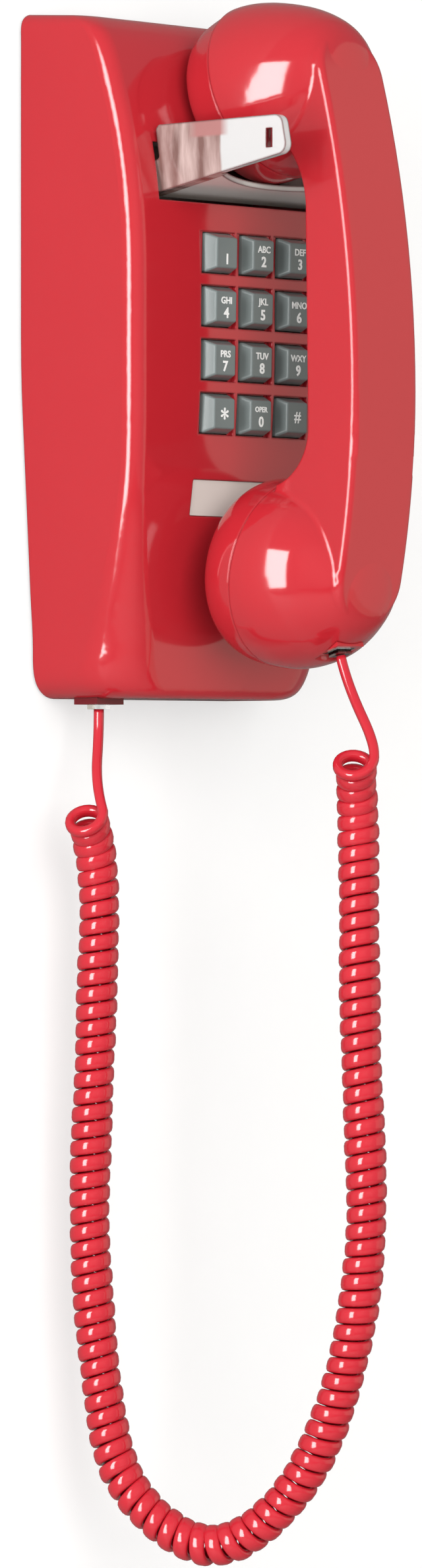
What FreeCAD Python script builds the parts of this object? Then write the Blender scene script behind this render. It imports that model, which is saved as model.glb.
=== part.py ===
import FreeCAD, Part
import math
import os
import Sketcher

# A push-button wall telephone. X runs along the wall, +Y into it and +Z up; the wall is the plane Y = 0.
# The origin is the centre of the two keyholes that hang the telephone on its wall studs.

Vector = FreeCAD.Vector
Rotation = FreeCAD.Rotation
Placement = FreeCAD.Placement
OUT = Vector(0, -1, 0)
UP = Vector(0, 0, 1)
ACROSS = Vector(1, 0, 0)

doc = FreeCAD.newDocument("WallTelephone")
sheet = doc.addObject("Spreadsheet::Sheet", "Size")

DIMENSIONS = (
    ("housing_top", 117.0, "top edge above the origin"),
    ("top_fall", 0.08, "how far the top falls for each unit of stand-off"),
    ("top_fall_start", 60.0, "height where sections begin to lean towards that fall"),
    ("housing_bottom", -117.5, "bottom edge below the origin"),
    ("housing_half", 58.8, "half width of the upper half"),
    ("housing_half_low", 52.0, "half width at the bottom edge"),
    ("taper_start", 5.0, "height where the sides begin to draw in"),
    ("front_depth", 55.4, "furthest stand-off of the crowned front"),
    ("front_flat_top", 27.0, "height where the front begins to lean back"),
    ("upper_sweep", 220.0, "radius of the front's upper sweep"),
    ("lower_sweep", 380.0, "radius of the front's lower sweep"),
    ("sweep_end", -57.0, "height where the lower sweep turns straight"),
    ("crown_radius", 2000.0, "radius of the front across its width"),
    ("wall", 2.8, "thickness of the moulded shell"),
    ("brow_radius", 9.0, "rounding of the front's top edge"),
    ("chin_radius", 3.0, "rounding of the front's bottom edge"),
    ("edge_radius", 6.0, "rounding along the front's upper side edges"),
    ("cheek_radius", 21.0, "rounding of the front's side edges at the bottom"),
    ("cheek_start", -40.0, "height where that rounding begins to grow"),
    ("shoulder_radius", 5.0, "outline corners at the top"),
    ("foot_radius", 9.0, "outline corners at the bottom"),
    ("rim_gap", 0.6, "shell's back rim to the wall"),
    ("plate_thick", 2.0, "base plate"),
    ("plate_gap", 0.4, "base plate to the shell, all round"),
    ("stud_spacing", 101.6, "between the two keyholes"),
    ("keyhole_radius", 4.8, "entry of a keyhole"),
    ("keyhole_slot", 5.2, "width of a keyhole's slot"),
    ("keyhole_rise", 10.0, "length of a keyhole's slot"),
    ("screw_radius", 2.0, "shell screw"),
    ("screw_x", 15.0, "shell screw"),
    ("screw_depth", 9.0, "shell screw"),
    ("head_radius", 3.6, "shell screw's sunk head"),
    ("head_thick", 1.4, "shell screw's sunk head"),
    ("keypad_depth", 54.4, "stand-off of the keypad's plane"),
    ("keypad_centre", 7.0, "height of the keypad's middle"),
    ("keypad_lean", 1.35, "degrees that the keypad leans, foot to the wall"),
    ("key_pitch", 18.25, "between key middles"),
    ("pocket_width", 17.0, "key pocket"),
    ("pocket_height", 14.6, "key pocket"),
    ("key_width", 13.2, "key at the keypad's plane"),
    ("key_height", 13.4, "key at the keypad's plane"),
    ("key_rise", 4.4, "key top before the keypad's plane"),
    ("key_taper", 20.0, "slope of a key's sides, degrees"),
    ("key_skirt", 2.6, "key behind the keypad's plane"),
    ("key_stem", 6.0, "square stem"),
    ("stem_depth", 10.2, "stem's end behind the keypad's plane"),
    ("key_round", 0.7, "rounding of a key's top"),
    ("key_corner", 0.8, "key corner"),
    ("guide_front", 6.2, "guide plate behind the keypad's plane"),
    ("guide_thick", 3.0, "guide plate"),
    ("guide_width", 66.0, "guide frame"),
    ("guide_height", 84.0, "guide frame"),
    ("guide_hole", 6.9, "stem hole"),
    ("leg_x", 29.0, "guide frame's legs"),
    ("leg_z", 39.0, "guide frame's legs"),
    ("leg_radius", 4.0, "lower legs"),
    ("leg_neck", 2.0, "legs where they pass the board"),
    ("mat_front", 13.6, "contact mat behind the keypad's plane"),
    ("mat_thick", 1.5, "contact mat"),
    ("board_thick", 1.6, "circuit boards"),
    ("slot_half", 45.5, "half width of the hook's slot"),
    ("slot_low", 51.2, "lower edge of the hook's slot"),
    ("slot_high", 71.0, "upper edge of the hook's slot"),
    ("hook_half", 41.0, "outside of the hook's wings"),
    ("wing_thick", 3.0, "hook wing"),
    ("pivot_depth", 22.0, "hook pin"),
    ("pivot_height", 78.0, "hook pin"),
    ("pin_radius", 2.0, "hook pin"),
    ("boss_radius", 5.0, "hook's bearing"),
    ("floor_thick", 2.0, "hook's cradle floor"),
    ("floor_near", 46.0, "hook floor's inner edge, stand-off"),
    ("floor_far", 78.0, "hook floor's outer corners, stand-off"),
    ("floor_notch", 75.0, "hook floor's outer edge at its middle, stand-off"),
    ("floor_height", 53.01, "hook floor's inner edge, height"),
    ("ear_out", 43.9, "outside of the hook bracket's ears"),
    ("spring_x", 14.0, "hook spring"),
    ("window_width", 54.6, "number window"),
    ("window_height", 12.2, "number window"),
    ("window_centre", -49.1, "number window's height"),
    ("window_depth", 50.9, "stand-off of the window's middle"),
    ("window_lean", 8.0, "degrees that the window leans, foot to the wall"),
    ("window_thick", 1.2, "number window"),
    ("card_thick", 0.3, "number card"),
    ("pan_thick", 2.0, "shell behind the number window"),
    ("jack_x", -38.5, "base jack"),
    ("jack_depth", 18.0, "base jack"),
    ("jack_width", 13.0, "modular jack"),
    ("jack_deep", 11.0, "modular jack"),
    ("jack_tall", 15.0, "modular jack"),
    ("jack_foot", -119.5, "lower face of the base jack"),
    ("plug_width", 7.6, "modular plug"),
    ("plug_deep", 6.2, "modular plug"),
    ("plug_tall", 11.5, "modular plug"),
    ("plug_proud", 1.6, "plug's tail out of its jack"),
    ("grip_half", 16.0, "half width of the handset's handle"),
    ("grip_head", 93.0, "upper end of the handle's straight sides"),
    ("grip_foot", -78.0, "lower end of the handle's straight sides"),
    ("crown_depth", 116.0, "handle's outermost line at its peak, stand-off"),
    ("crown_height", -14.0, "handle's outermost line at its peak, height"),
    ("crown_upper", 390.0, "bend of the crown above its peak"),
    ("crown_lower", 315.0, "bend of the crown below its peak"),
    ("grip_round", 2.4, "rounding along the handle's edges"),
    ("blend_radius", 2.5, "rounding where the handle meets a cup"),
    ("ear_depth", 63.8, "receiver seam, stand-off"),
    ("ear_height", 90.0, "receiver seam, height"),
    ("ear_tilt", 17.0, "degrees that the receiver faces down"),
    ("ear_radius", 31.0, "receiver cup at its seam"),
    ("ear_lean", 11.0, "degrees that the receiver cup's back leans"),
    ("mouth_depth", 73.8, "transmitter seam, stand-off"),
    ("mouth_height", -75.0, "transmitter seam, height"),
    ("mouth_tilt", -9.0, "degrees that the transmitter faces down"),
    ("mouth_radius", 32.4, "transmitter cup at its seam"),
    ("mouth_lean", -9.0, "degrees that the transmitter cup's back leans"),
    ("thread_radius", 25.0, "bore of a cup"),
    ("thread_depth", 11.0, "bore of a cup"),
    ("capsule_radius", 22.0, "sound unit"),
    ("sound_hole", 1.6, "radius of a cap's sound hole"),
    ("socket_depth", 94.4, "handset jack, stand-off"),
    ("socket_height", -101.6, "handset jack, height"),
    ("socket_lean", 17.0, "degrees that the handset jack faces out"),
    ("gong_radius", 19.5, "bell"),
    ("gong_height", 10.5, "bell"),
    ("gong_wall", 1.2, "bell"),
    ("gong_x", 27.0, "bell"),
    ("gong_z", -80.0, "bell"),
    ("gong_depth", 9.0, "bell's rim, stand-off"),
    ("post_radius", 2.5, "post of a bell"),
    ("clapper_pivot", -58.0, "clapper's pin, height"),
    ("clapper_reach", 22.0, "clapper's pin to its ball"),
    ("clapper_ball", 3.5, "clapper"),
    ("wheel_x", 28.0, "volume wheel"),
    ("wheel_z", -105.4, "volume wheel"),
    ("wheel_radius", 12.0, "volume wheel"),
    ("wheel_depth", 26.0, "volume wheel's middle, stand-off"),
    ("wheel_thick", 4.0, "volume wheel"),
    ("fit_gap", 0.2, "clearance of a piece let into a moulding, each side"),
    ("network_width", 60.0, "speech network"),
    ("network_side", 18.0, "speech network"),
    ("network_foot", 92.0, "speech network, lower face"),
    ("strip_thick", 2.0, "ringer frame"),
    ("coil_foot", -106.0, "lower end of the ringer's frame and coil"),
    ("cord_thick", 3.5, "cord"),
    ("cord_x", -40.1, "cord below the base jack"),
    ("cord_turn", 27.94, "degrees that the cord's loop turns from square to the wall"),
    ("coil_radius", 5.2, "middle of the cord's curls"),
)
for row, (alias, amount, meaning) in enumerate(DIMENSIONS, 1):
    sheet.set(f"A{row}", meaning)
    sheet.set(f"B{row}", str(amount))
    sheet.setAlias(f"B{row}", alias)
doc.recompute()

# Number of turns in the coiled cord, and of flutes on the volume wheel.
CURLS = 97.5
FLUTES = 18

finished = []


def size(expression):
    """The number that an expression on the sheet's cells gives."""
    return float(sheet.evalExpression(expression))


def cells(words):
    """A cell's name, or a sum written with cell names, as an expression on the sheet."""
    names = sorted((alias for alias, _, _ in DIMENSIONS), key=len, reverse=True)
    out, rest = "", words
    while rest:
        name = next((n for n in names if rest.startswith(n)), None)
        out += f"Size.{name}" if name else rest[0]
        rest = rest[len(name) if name else 1:]
    return out


def n(words):
    return size(cells(words))


def place(thing, x, depth, height):
    """Binds an object's position: along the wall, away from it, and up."""
    thing.setExpression("Placement.Base.x", cells(x))
    thing.setExpression("Placement.Base.y", f"-({cells(depth)})")
    thing.setExpression("Placement.Base.z", cells(height))
    return thing


def block(name, width, deep, tall, x="0", depth="0", height="0"):
    """A box about its middle in X, from its given stand-off outwards, and up from its given height."""
    box = doc.addObject("Part::Box", name)
    box.setExpression("Length", cells(width))
    box.setExpression("Width", cells(deep))
    box.setExpression("Height", cells(tall))
    return place(box, f"({x}) - ({width}) / 2", f"({depth}) + ({deep})", height)


def rod(name, radius, length, x="0", depth="0", height="0", along=OUT):
    """A round bar from its given place along a direction."""
    bar = doc.addObject("Part::Cylinder", name)
    bar.setExpression("Radius", cells(radius))
    bar.setExpression("Height", cells(length))
    bar.Placement = Placement(Vector(), Rotation(UP, along))
    return place(bar, x, depth, height)


def joined(name, *things):
    whole = doc.addObject("Part::MultiFuse", name)
    whole.Shapes = list(things)
    whole.Refine = True
    return whole


def less(name, base, *tools):
    """The base with the tools taken out of it."""
    cut = doc.addObject("Part::Cut", name)
    cut.Base = base
    cut.Tool = tools[0] if len(tools) == 1 else joined(name + "_tools", *tools)
    cut.Refine = True
    return cut


def solid(name, shape):
    thing = doc.addObject("Part::Feature", name)
    thing.Shape = shape
    return thing


def piece(label, thing):
    """Marks an object as a finished piece of the telephone."""
    thing.Label = label
    finished.append(thing)
    return thing


def at(depth, height, x=0.0):
    return Vector(x, -depth, height)


def rounded(corners, where):
    """A face with straight sides between corners (a, b, radius), each corner rounded by a tangent arc."""
    points = [where(a, b) for a, b, _ in corners]
    edges = []
    count = len(points)
    ends = []
    for i, (_, _, radius) in enumerate(corners):
        before = (points[i - 1] - points[i]).normalize()
        after = (points[(i + 1) % count] - points[i]).normalize()
        half = before.getAngle(after) / 2
        if radius <= 0:
            ends.append((points[i], None, points[i]))
            continue
        run = radius / math.tan(half)
        inward = (before + after).normalize()
        middle = points[i] + inward * (radius / math.sin(half) - radius)
        ends.append((points[i] + before * run, middle, points[i] + after * run))
    for i, (first, middle, last) in enumerate(ends):
        if middle is not None:
            edges.append(Part.Arc(first, middle, last).toShape())
        following = ends[(i + 1) % count][0]
        if (following - last).Length > 1e-6:
            edges.append(Part.LineSegment(last, following).toShape())
    return Part.Face(Part.Wire(edges))


def plane_of(body, role):
    return next(f for f in body.Origin.OriginFeatures if f.Role == role)


def outline(body, name, width, height, corner):
    """A rounded rectangle about the body's origin, facing out from the wall, bound to the sheet."""
    sketch = body.newObject("Sketcher::SketchObject", name)
    sketch.AttachmentSupport = [(plane_of(body, "XZ_Plane"), "")]
    sketch.MapMode = "FlatFace"
    a, b, c = n(width) / 2, n(height) / 2, n(corner)
    ring = [(c - a, -b), (a - c, -b), (a, c - b), (a, b - c)]
    ring = [Vector(x, y, 0) for x, y in ring + [(-x, -y) for x, y in ring]]
    for i in range(4):
        sketch.addGeometry(Part.LineSegment(ring[2 * i], ring[2 * i + 1]), False)
    for i, (sx, sy) in enumerate(((1, -1), (1, 1), (-1, 1), (-1, -1))):
        circle = Part.Circle(Vector(sx * (a - c), sy * (b - c), 0), UP, c)
        turn = math.pi / 2 * (i - 1)
        sketch.addGeometry(Part.ArcOfCircle(circle, turn, turn + math.pi / 2), False)
    for i in range(4):
        sketch.addConstraint(Sketcher.Constraint("Tangent", i, 2, 4 + i, 1))
        sketch.addConstraint(Sketcher.Constraint("Tangent", 4 + i, 2, (i + 1) % 4, 1))
    for i, kind in enumerate(("Horizontal", "Vertical", "Horizontal", "Vertical")):
        sketch.addConstraint(Sketcher.Constraint(kind, i))
    for i in (5, 6, 7):
        sketch.addConstraint(Sketcher.Constraint("Equal", 4, i))
    sketch.addConstraint(Sketcher.Constraint("Symmetric", 7, 3, 5, 3, -1, 1))
    for kind, value, places in (
        ("DistanceX", width, (3, 1, 1, 1)),
        ("DistanceY", height, (0, 1, 2, 1)),
    ):
        index = sketch.addConstraint(Sketcher.Constraint(kind, *places, n(value)))
        sketch.setExpression(f"Constraints[{index}]", cells(value))
    index = sketch.addConstraint(Sketcher.Constraint("Radius", 4, c))
    sketch.setExpression(f"Constraints[{index}]", cells(corner))
    return sketch


def pad(body, sketch, length, inwards=False):
    feature = body.newObject("PartDesign::Pad", sketch.Name + "_pad")
    feature.Profile = sketch
    feature.setExpression("Length", cells(length))
    feature.Reversed = inwards
    return feature


def plate(name, width, height, corner, thickness):
    """A flat plate with rounded corners, its back on the body's origin."""
    body = doc.addObject("PartDesign::Body", name)
    pad(body, outline(body, name + "_outline", width, height, corner), thickness)
    return body


def holes(name, places, width, tall, deep, behind):
    """Square holes through a plate, at the given places on it."""
    tools = []
    for i, (x, height) in enumerate(places):
        tools.append(block(f"{name}_{i}", width, deep, tall, x, behind, f"({height}) - ({tall}) / 2"))
    return tools


# Housing: plan sections, each with a crowned front and rounded front corners, lofted from the bottom up.


def drawn_in(radius, reach):
    """How far a quarter round of this radius draws in, at a reach past its start."""
    return radius - math.sqrt(max(radius**2 - max(reach, 0.0) ** 2, 0.0))


def front_line(height):
    """Stand-off of the front along its middle: swept back above, flat, swept and then straight below."""
    front, flat, start, bend = n("front_depth"), n("front_flat_top"), n("taper_start"), n("sweep_end")
    upper, lower = n("upper_sweep"), n("lower_sweep")
    if height > start:
        return front - drawn_in(upper, height - flat)
    if height > bend:
        return front - drawn_in(lower, start - height)
    slope = (start - bend) / math.sqrt(lower**2 - (start - bend) ** 2)
    return front - drawn_in(lower, start - bend) - slope * (bend - height)


def half_line(height):
    """Half width: constant above, then drawn in evenly to the bottom, with a soft start."""
    soft = 0.2
    share = max((n("taper_start") - height) / n("taper_start - housing_bottom"), 0.0)
    eased = share**2 / (2 * soft) if share < soft else share - soft / 2
    return n("housing_half") - n("housing_half - housing_half_low") * eased / (1 - soft / 2)


def housing_form(inset, back):
    """The housing's form, drawn in by inset all over, from the given stand-off outwards."""
    low, top = n("housing_bottom") + inset, n("housing_top") - inset
    brow, chin = n("brow_radius") - inset / 2, n("chin_radius")
    shoulder, foot = n("shoulder_radius") - inset / 2, n("foot_radius") - inset / 2
    edge, cheek = n("edge_radius"), n("cheek_radius")
    axis = n("front_depth - crown_radius")
    start, fall = n("top_fall_start"), n("top_fall")

    def section(height):
        leaning = fall * max(height - start, 0.0) / (top - start)

        def on_section(depth, x):
            return at(depth, height - leaning * depth, x)

        half = half_line(height) - inset
        half -= drawn_in(shoulder, height - top + shoulder) + drawn_in(foot, low + foot - height)
        depth = front_line(height) - inset
        depth -= drawn_in(brow, height - top + brow) + drawn_in(chin, low + chin - height)
        growth = max(n("cheek_start") - height, 0.0) / n("cheek_start - housing_bottom")
        corner = max(edge + (cheek - edge) * growth**1.4 - inset / 2, edge / 2)
        crown = depth - axis
        side = half - corner
        middle = axis + math.sqrt((crown - corner) ** 2 - side**2)
        turn = math.atan2(middle - axis, side)
        meet = on_section(axis + crown * math.sin(turn), crown * math.cos(turn))
        bulge = on_section(middle + corner * math.sin(turn / 2), side + corner * math.cos(turn / 2))

        def other(point):
            return Vector(-point.x, point.y, point.z)

        flank, rear = on_section(middle, half), on_section(back, half)
        return Part.Wire([
            Part.LineSegment(other(rear), rear).toShape(),
            Part.LineSegment(rear, flank).toShape(),
            Part.Arc(flank, bulge, meet).toShape(),
            Part.Arc(meet, on_section(depth, 0), other(meet)).toShape(),
            Part.Arc(other(meet), other(bulge), other(flank)).toShape(),
            Part.LineSegment(other(flank), other(rear)).toShape(),
        ])

    levels = [low + foot * (1 - math.sin(math.radians(angle))) for angle in (90, 70, 50, 30, 12)]
    levels += [-100, -85, -70, -57, -45, -30, -12, 5, 16, 27, 40, 55, 70, 85, 97]
    levels += [top - brow * (1 - math.sin(math.radians(angle))) for angle in (4, 25, 45, 65, 80, 90)]
    return Part.makeLoft([section(height) for height in levels], True, False)


def lean(thing, behind, depth, height, degrees):
    """Stands an object, made facing out about the origin, behind a plane that leans about X."""
    thing.Placement = Placement(Vector(), Rotation(ACROSS, n(degrees)))
    out = f"({depth}) - ({behind}) * cos({degrees})"
    return place(thing, "0", out, f"({height}) + ({behind}) * sin({degrees})")


def on_keypad(thing, behind):
    return lean(thing, behind, "keypad_depth", "keypad_centre", "keypad_lean")


def on_window(thing, behind):
    return lean(thing, behind, "window_depth", "window_centre", "window_lean")


COLUMNS = (-1, 0, 1)
ROWS = (1.5, 0.5, -0.5, -1.5)
key_places = [(f"{c} * key_pitch", f"{r} * key_pitch") for r in ROWS for c in COLUMNS]

pocket_tools = holes("pocket", key_places, "pocket_width", "pocket_height", "30", "-15")
pockets = on_keypad(joined("key_pockets", *pocket_tools), "0")
hook_slot = block("hook_slot", "2 * slot_half", "30", "slot_high - slot_low", "0", "40", "slot_low")
recess_size = ("window_width + 2 * fit_gap", "window_height + 2 * fit_gap")
recess = plate("window_recess", *recess_size, "key_corner", "window_width / 2")
on_window(recess, "window_thick + card_thick")
pan = plate("window_pan", "window_width + 7", "window_height + 6", "key_corner", "pan_thick")
on_window(pan, "window_thick + card_thick + pan_thick")
jack_hole = block(
    "jack_hole", "jack_width + 2 * fit_gap", "jack_deep + 2 * fit_gap", "3 * wall",
    "jack_x", "jack_depth - jack_deep / 2 - fit_gap", "housing_bottom - wall",
)
wheel_slot = block(
    "wheel_slot", "1.5 * wheel_radius", "1.5 * wheel_thick", "3 * wall",
    "wheel_x", "wheel_depth - 0.75 * wheel_thick", "housing_bottom - wall",
)
screw_holes = []
for i, side in enumerate((-1, 1)):
    spot = (f"{side} * screw_x", "screw_depth", "housing_bottom - wall")
    screw_holes.append(rod(f"screw_hole_{i}", "screw_radius + 0.2", "3 * wall", *spot, UP))
    screw_holes.append(rod(f"screw_seat_{i}", "head_radius + 0.2", "wall + head_thick", *spot, UP))
skin = solid("housing_skin", housing_form(0, n("rim_gap")).cut(housing_form(n("wall"), -3)))
cover = joined("housing_cover", skin, pan)
openings = [pockets, hook_slot, recess, jack_hole, wheel_slot, *screw_holes]
piece("housing_shell", less("housing", cover, *openings))

# Number card under its clear window.
window = plate("window", "window_width", "window_height", "key_corner", "window_thick")
piece("number_window", on_window(window, "window_thick"))
card = plate("card", "window_width - 3 * fit_gap", "window_height - 3 * fit_gap", "key_corner", "card_thick")
piece("number_card", on_window(card, "window_thick + card_thick"))

# Base plate: hangs on two wall studs, and its bent foot takes the screws that hold the shell.
inset = n("wall + plate_gap")
low, top = n("housing_bottom") + inset, n("housing_top") - inset
half, half_low = n("housing_half") - inset, n("housing_half_low") - inset
SIDE_BEND = 300.0
right = [
    (half_low, low, n("foot_radius")),
    (half, n("taper_start"), SIDE_BEND),
    (half, top, n("shoulder_radius")),
]
corners = right + [(-x, z, r) for x, z, r in reversed(right)]
sheet_metal = solid("base_sheet", rounded(corners, lambda a, b: at(0, b, a)).extrude(OUT * n("plate_thick")))
foot = block("base_foot", "60", "14", "plate_thick", "0", "0", "housing_bottom + wall + plate_gap")
keyholes = []
for i, side in enumerate((1, -1)):
    level = f"{side} * stud_spacing / 2"
    keyholes.append(rod(f"keyhole_{i}", "keyhole_radius", "10", "0", "-4", level))
    keyholes.append(block(f"keyhole_slot_{i}", "keyhole_slot", "10", "keyhole_rise", "0", "-4", level))
    keyholes.append(rod(f"keyhole_end_{i}", "keyhole_slot / 2", "10", "0", "-4", f"{level} + keyhole_rise"))
plug_way = block("line_plug_way", "12.4", "10", "10.4", "0", "-4", "-5.2")
foot_holes = []
for i, side in enumerate((-1, 1)):
    spot = (f"{side} * screw_x", "screw_depth", "housing_bottom")
    foot_holes.append(rod(f"foot_hole_{i}", "screw_radius + 0.05", "3 * wall", *spot, UP))
piece("base_plate", less("base", joined("base_blank", sheet_metal, foot), *keyholes, plug_way, *foot_holes))

screws = []
for i, side in enumerate((-1, 1)):
    spot = (f"{side} * screw_x", "screw_depth", "housing_bottom")
    screws.append(rod(f"screw_shank_{i}", "screw_radius", "2.5 * wall", *spot, UP))
    screws.append(rod(f"screw_head_{i}", "head_radius", "head_thick", *spot, UP))
piece("housing_screws", joined("screws", *screws))

line_body = block("line_plug_body", "11.6", "11", "9.6", "0", "0.3", "-4.8")
line_flange = block("line_plug_flange", "20", "2.5", "16", "0", "plate_thick", "-8")
piece("line_plug", joined("line_plug_solid", line_body, line_flange))

# Keypad: twelve keys on square stems, their guide frame on four legs, the contact mat and its board.
KEY_NAMES = ("1", "2", "3", "4", "5", "6", "7", "8", "9", "star", "0", "pound")
for label, (x, rise) in zip(KEY_NAMES, key_places):
    key = doc.addObject("PartDesign::Body", f"key_body_{label}")
    foot_ring = outline(key, f"key_foot_{label}", "key_width", "key_height", "key_corner")
    slope = "2 * key_rise * tan(key_taper)"
    top_ring = outline(key, f"key_top_{label}", f"key_width - {slope}", f"key_height - {slope}", "key_corner")
    top_ring.setExpression("AttachmentOffset.Base.z", cells("key_rise"))
    cap = key.newObject("PartDesign::AdditiveLoft", f"key_cap_{label}")
    cap.Profile = foot_ring
    cap.Sections = [top_ring]
    cap.Ruled = True
    skirt = outline(key, f"key_skirt_{label}", "key_width", "key_height", "key_corner")
    pad(key, skirt, "key_skirt", inwards=True)
    stem = outline(key, f"key_stem_{label}", "key_stem", "key_stem", "key_corner")
    pad(key, stem, "stem_depth", inwards=True)
    doc.recompute()
    crown = key.Tip
    rim = [
        f"Edge{i}" for i, e in enumerate(crown.Shape.Edges, 1)
        if min(-v.Y for v in e.Vertexes) > n("key_rise") - 0.01
    ]
    soft = key.newObject("PartDesign::Fillet", f"key_round_{label}")
    soft.Base = (crown, rim)
    soft.setExpression("Radius", cells("key_round"))
    key.Placement = Placement(Vector(), Rotation(ACROSS, n("keypad_lean")))
    place(key, x, f"keypad_depth + {rise} * sin(keypad_lean)", f"keypad_centre + {rise} * cos(keypad_lean)")
    piece(f"key_{label}", key)

guide = plate("guide_plate", "guide_width", "guide_height", "leg_radius", "guide_thick")
stem_holes = holes("stem_hole", key_places, "guide_hole", "guide_hole", "30", "-15")
guide_plate = on_keypad(less("guide", guide, *stem_holes), "guide_front + guide_thick")
legs = []
leg_places = [(side, end) for side in (-1, 1) for end in (-1, 1)]
for i, (side, end) in enumerate(leg_places):
    rise = f"{end} * leg_z"
    spot = (f"{side} * leg_x", "plate_thick", f"keypad_centre + {rise}")
    board_back = f"keypad_depth + {rise} * sin(keypad_lean) - mat_front - mat_thick - board_thick"
    legs.append(rod(f"leg_{i}", "leg_radius", f"{board_back} - plate_thick - 0.3", *spot))
    neck = f"keypad_depth + {rise} * sin(keypad_lean) - guide_front - leg_radius"
    legs.append(rod(f"leg_neck_{i}", "leg_neck", neck, *spot))
piece("keypad_frame", joined("guide_frame", guide_plate, *legs))

piece("key_mat", on_keypad(plate("mat", "52", "72", "leg_radius", "mat_thick"), "mat_front + mat_thick"))
board = plate("key_board", "guide_width", "guide_height", "leg_neck", "board_thick")
board_holes = [
    rod(f"board_hole_{i}", "leg_neck + 0.8", "10", f"{side} * leg_x", "-5", f"{end} * leg_z")
    for i, (side, end) in enumerate(leg_places)
]
drilled = less("key_board_drilled", board, *board_holes)
piece("keypad_board", on_keypad(drilled, "mat_front + mat_thick + board_thick"))

# Hook: a clear cradle with two side wings and a floor, turning on a pin inside the housing.
FLOOR_SLOPE = 10.37
WING_REAR = [(17.5, 76.0, 0), (25.0, 82.0, 0), (45.0, 65.6, 4), (52.6, 64.6, 1.2), (50.7, 76.6, 2)]
WING_FOOT = [(44.0, 52.65, 2), (38.0, 56.0, 3)]
LONG_TIP = [(105.6, 77.1, 3.5), (108.1, 64.37, 3.5)]
SHORT_TIP = [(73.5, 76.9, 3.5), (78.0, 58.87, 3.5)]
hook_parts = []
for i, (tip, inner) in enumerate(((LONG_TIP, -n("hook_half")), (SHORT_TIP, n("hook_half - wing_thick")))):
    side_face = rounded(WING_REAR + tip + WING_FOOT, lambda a, b: at(a, b, inner))
    hook_parts.append(solid(f"hook_wing_{i}", side_face.extrude(ACROSS * n("wing_thick"))))
pivot = ("pivot_depth", "pivot_height", ACROSS)
sleeve = rod("hook_sleeve", "boss_radius", "2 * hook_half", "-hook_half", *pivot)
inside = n("hook_half - wing_thick")
near, far, notch = n("floor_near"), n("floor_far"), n("floor_notch")
floor_edge = Part.Wire([
    Part.LineSegment(at(far - near, 0, -inside), at(0, 0, -inside)).toShape(),
    Part.LineSegment(at(0, 0, -inside), at(0, 0, inside)).toShape(),
    Part.LineSegment(at(0, 0, inside), at(far - near, 0, inside)).toShape(),
    Part.Arc(at(far - near, 0, inside), at(notch - near, 0), at(far - near, 0, -inside)).toShape(),
])
cradle_floor = solid("hook_floor", Part.Face(floor_edge).extrude(UP * n("floor_thick")))
cradle_floor.Placement = Placement(Vector(), Rotation(ACROSS, -FLOOR_SLOPE))
place(cradle_floor, "0", "floor_near", "floor_height")
hook_bore = rod("hook_bore", "pin_radius + 0.06", "4 * hook_half", "-2 * hook_half", *pivot)
tip_slot = block("hook_tip_slot", "4 * hook_half", "1.8", "6", "0", "99.3", "66.4")
hook_blank = joined("hook_blank", *hook_parts, sleeve, cradle_floor)
piece("hook_lever", less("hook", hook_blank, hook_bore, tip_slot))

piece("hook_pin", rod("pin", "pin_radius", "2 * ear_out", "-ear_out", *pivot))
bracket_back = block("bracket_back", "2 * ear_out", "1.5", "18", "0", "plate_thick", "pivot_height - 8")
ear_size = ("plate_thick", "pivot_depth + 2 * pin_radius - plate_thick", "6 * pin_radius")
ears = []
for i, side in enumerate((-1, 1)):
    spot = (f"{side} * (ear_out - plate_thick / 2)", "plate_thick", "pivot_height - 3 * pin_radius")
    ears.append(block(f"bracket_ear_{i}", *ear_size, *spot))
ear_bore = rod("ear_bore", "pin_radius + 0.02", "4 * ear_out", "-2 * ear_out", *pivot)
piece("hook_bracket", less("bracket", joined("bracket_blank", bracket_back, *ears), ear_bore))
switch_body = block("switch_body", "14", "9", "14", "-14", "plate_thick + 1.5", "pivot_height - 7")
switch_button = block("switch_button", "4", "2.5", "4", "-14", "plate_thick + 10.5", "pivot_height - 2")
piece("hook_switch", joined("switch", switch_body, switch_button))
spring_line = [
    (2.5, 34.0, 0), (2.5, 46.0, 2), (44.6, 51.4, 0), (44.6, 51.9, 0), (2.0, 46.5, 2.5), (2.0, 34.0, 0),
]
leaf = rounded(spring_line, lambda a, b: at(a, b, n("spring_x") - 4)).extrude(ACROSS * 8)
piece("hook_spring", solid("spring_leaf", leaf))

# Base jack under the housing, with the clear plug of the cord in it.


def modular_jack(name, tall):
    """A jack with a square way for a plug, its mouth at the origin and facing down."""
    body = block(name + "_body", "jack_width", "jack_deep", tall, "0", "-jack_deep / 2", "0")
    way_size = ("plug_width + 0.5", "plug_deep + 0.5", "plug_tall")
    way = block(name + "_way", *way_size, "0", "-(plug_deep + 0.5) / 2", "-0.1")
    return less(name, body, way)


def modular_plug(name):
    """A plug that stands in its jack, with a narrower tail below the mouth."""
    body = block(name + "_body", "plug_width", "plug_deep", "plug_tall - 0.6", "0", "-plug_deep / 2", "0")
    tail_size = ("plug_width - 1", "plug_deep - 1.6", "plug_proud")
    tail = block(name + "_tail", *tail_size, "0", "0.8 - plug_deep / 2", "-plug_proud")
    return joined(name, body, tail)


jack = place(modular_jack("jack", "jack_tall"), "jack_x", "jack_depth", "jack_foot")
piece("base_jack", jack)
piece("base_plug", place(modular_plug("base_cord_plug"), "jack_x", "jack_depth", "jack_foot"))

# Speech network: a moulded block on the base plate with its board.
net_size = ("network_width", "network_side", "network_side")
piece("network_block", block("network_body", *net_size, "0", "plate_thick", "network_foot"))
net_board = block(
    "network_sheet", "network_width - 4", "board_thick", "network_side - 2",
    "0", "plate_thick + network_side", "network_foot + 1",
)
piece("network_board", net_board)

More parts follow.
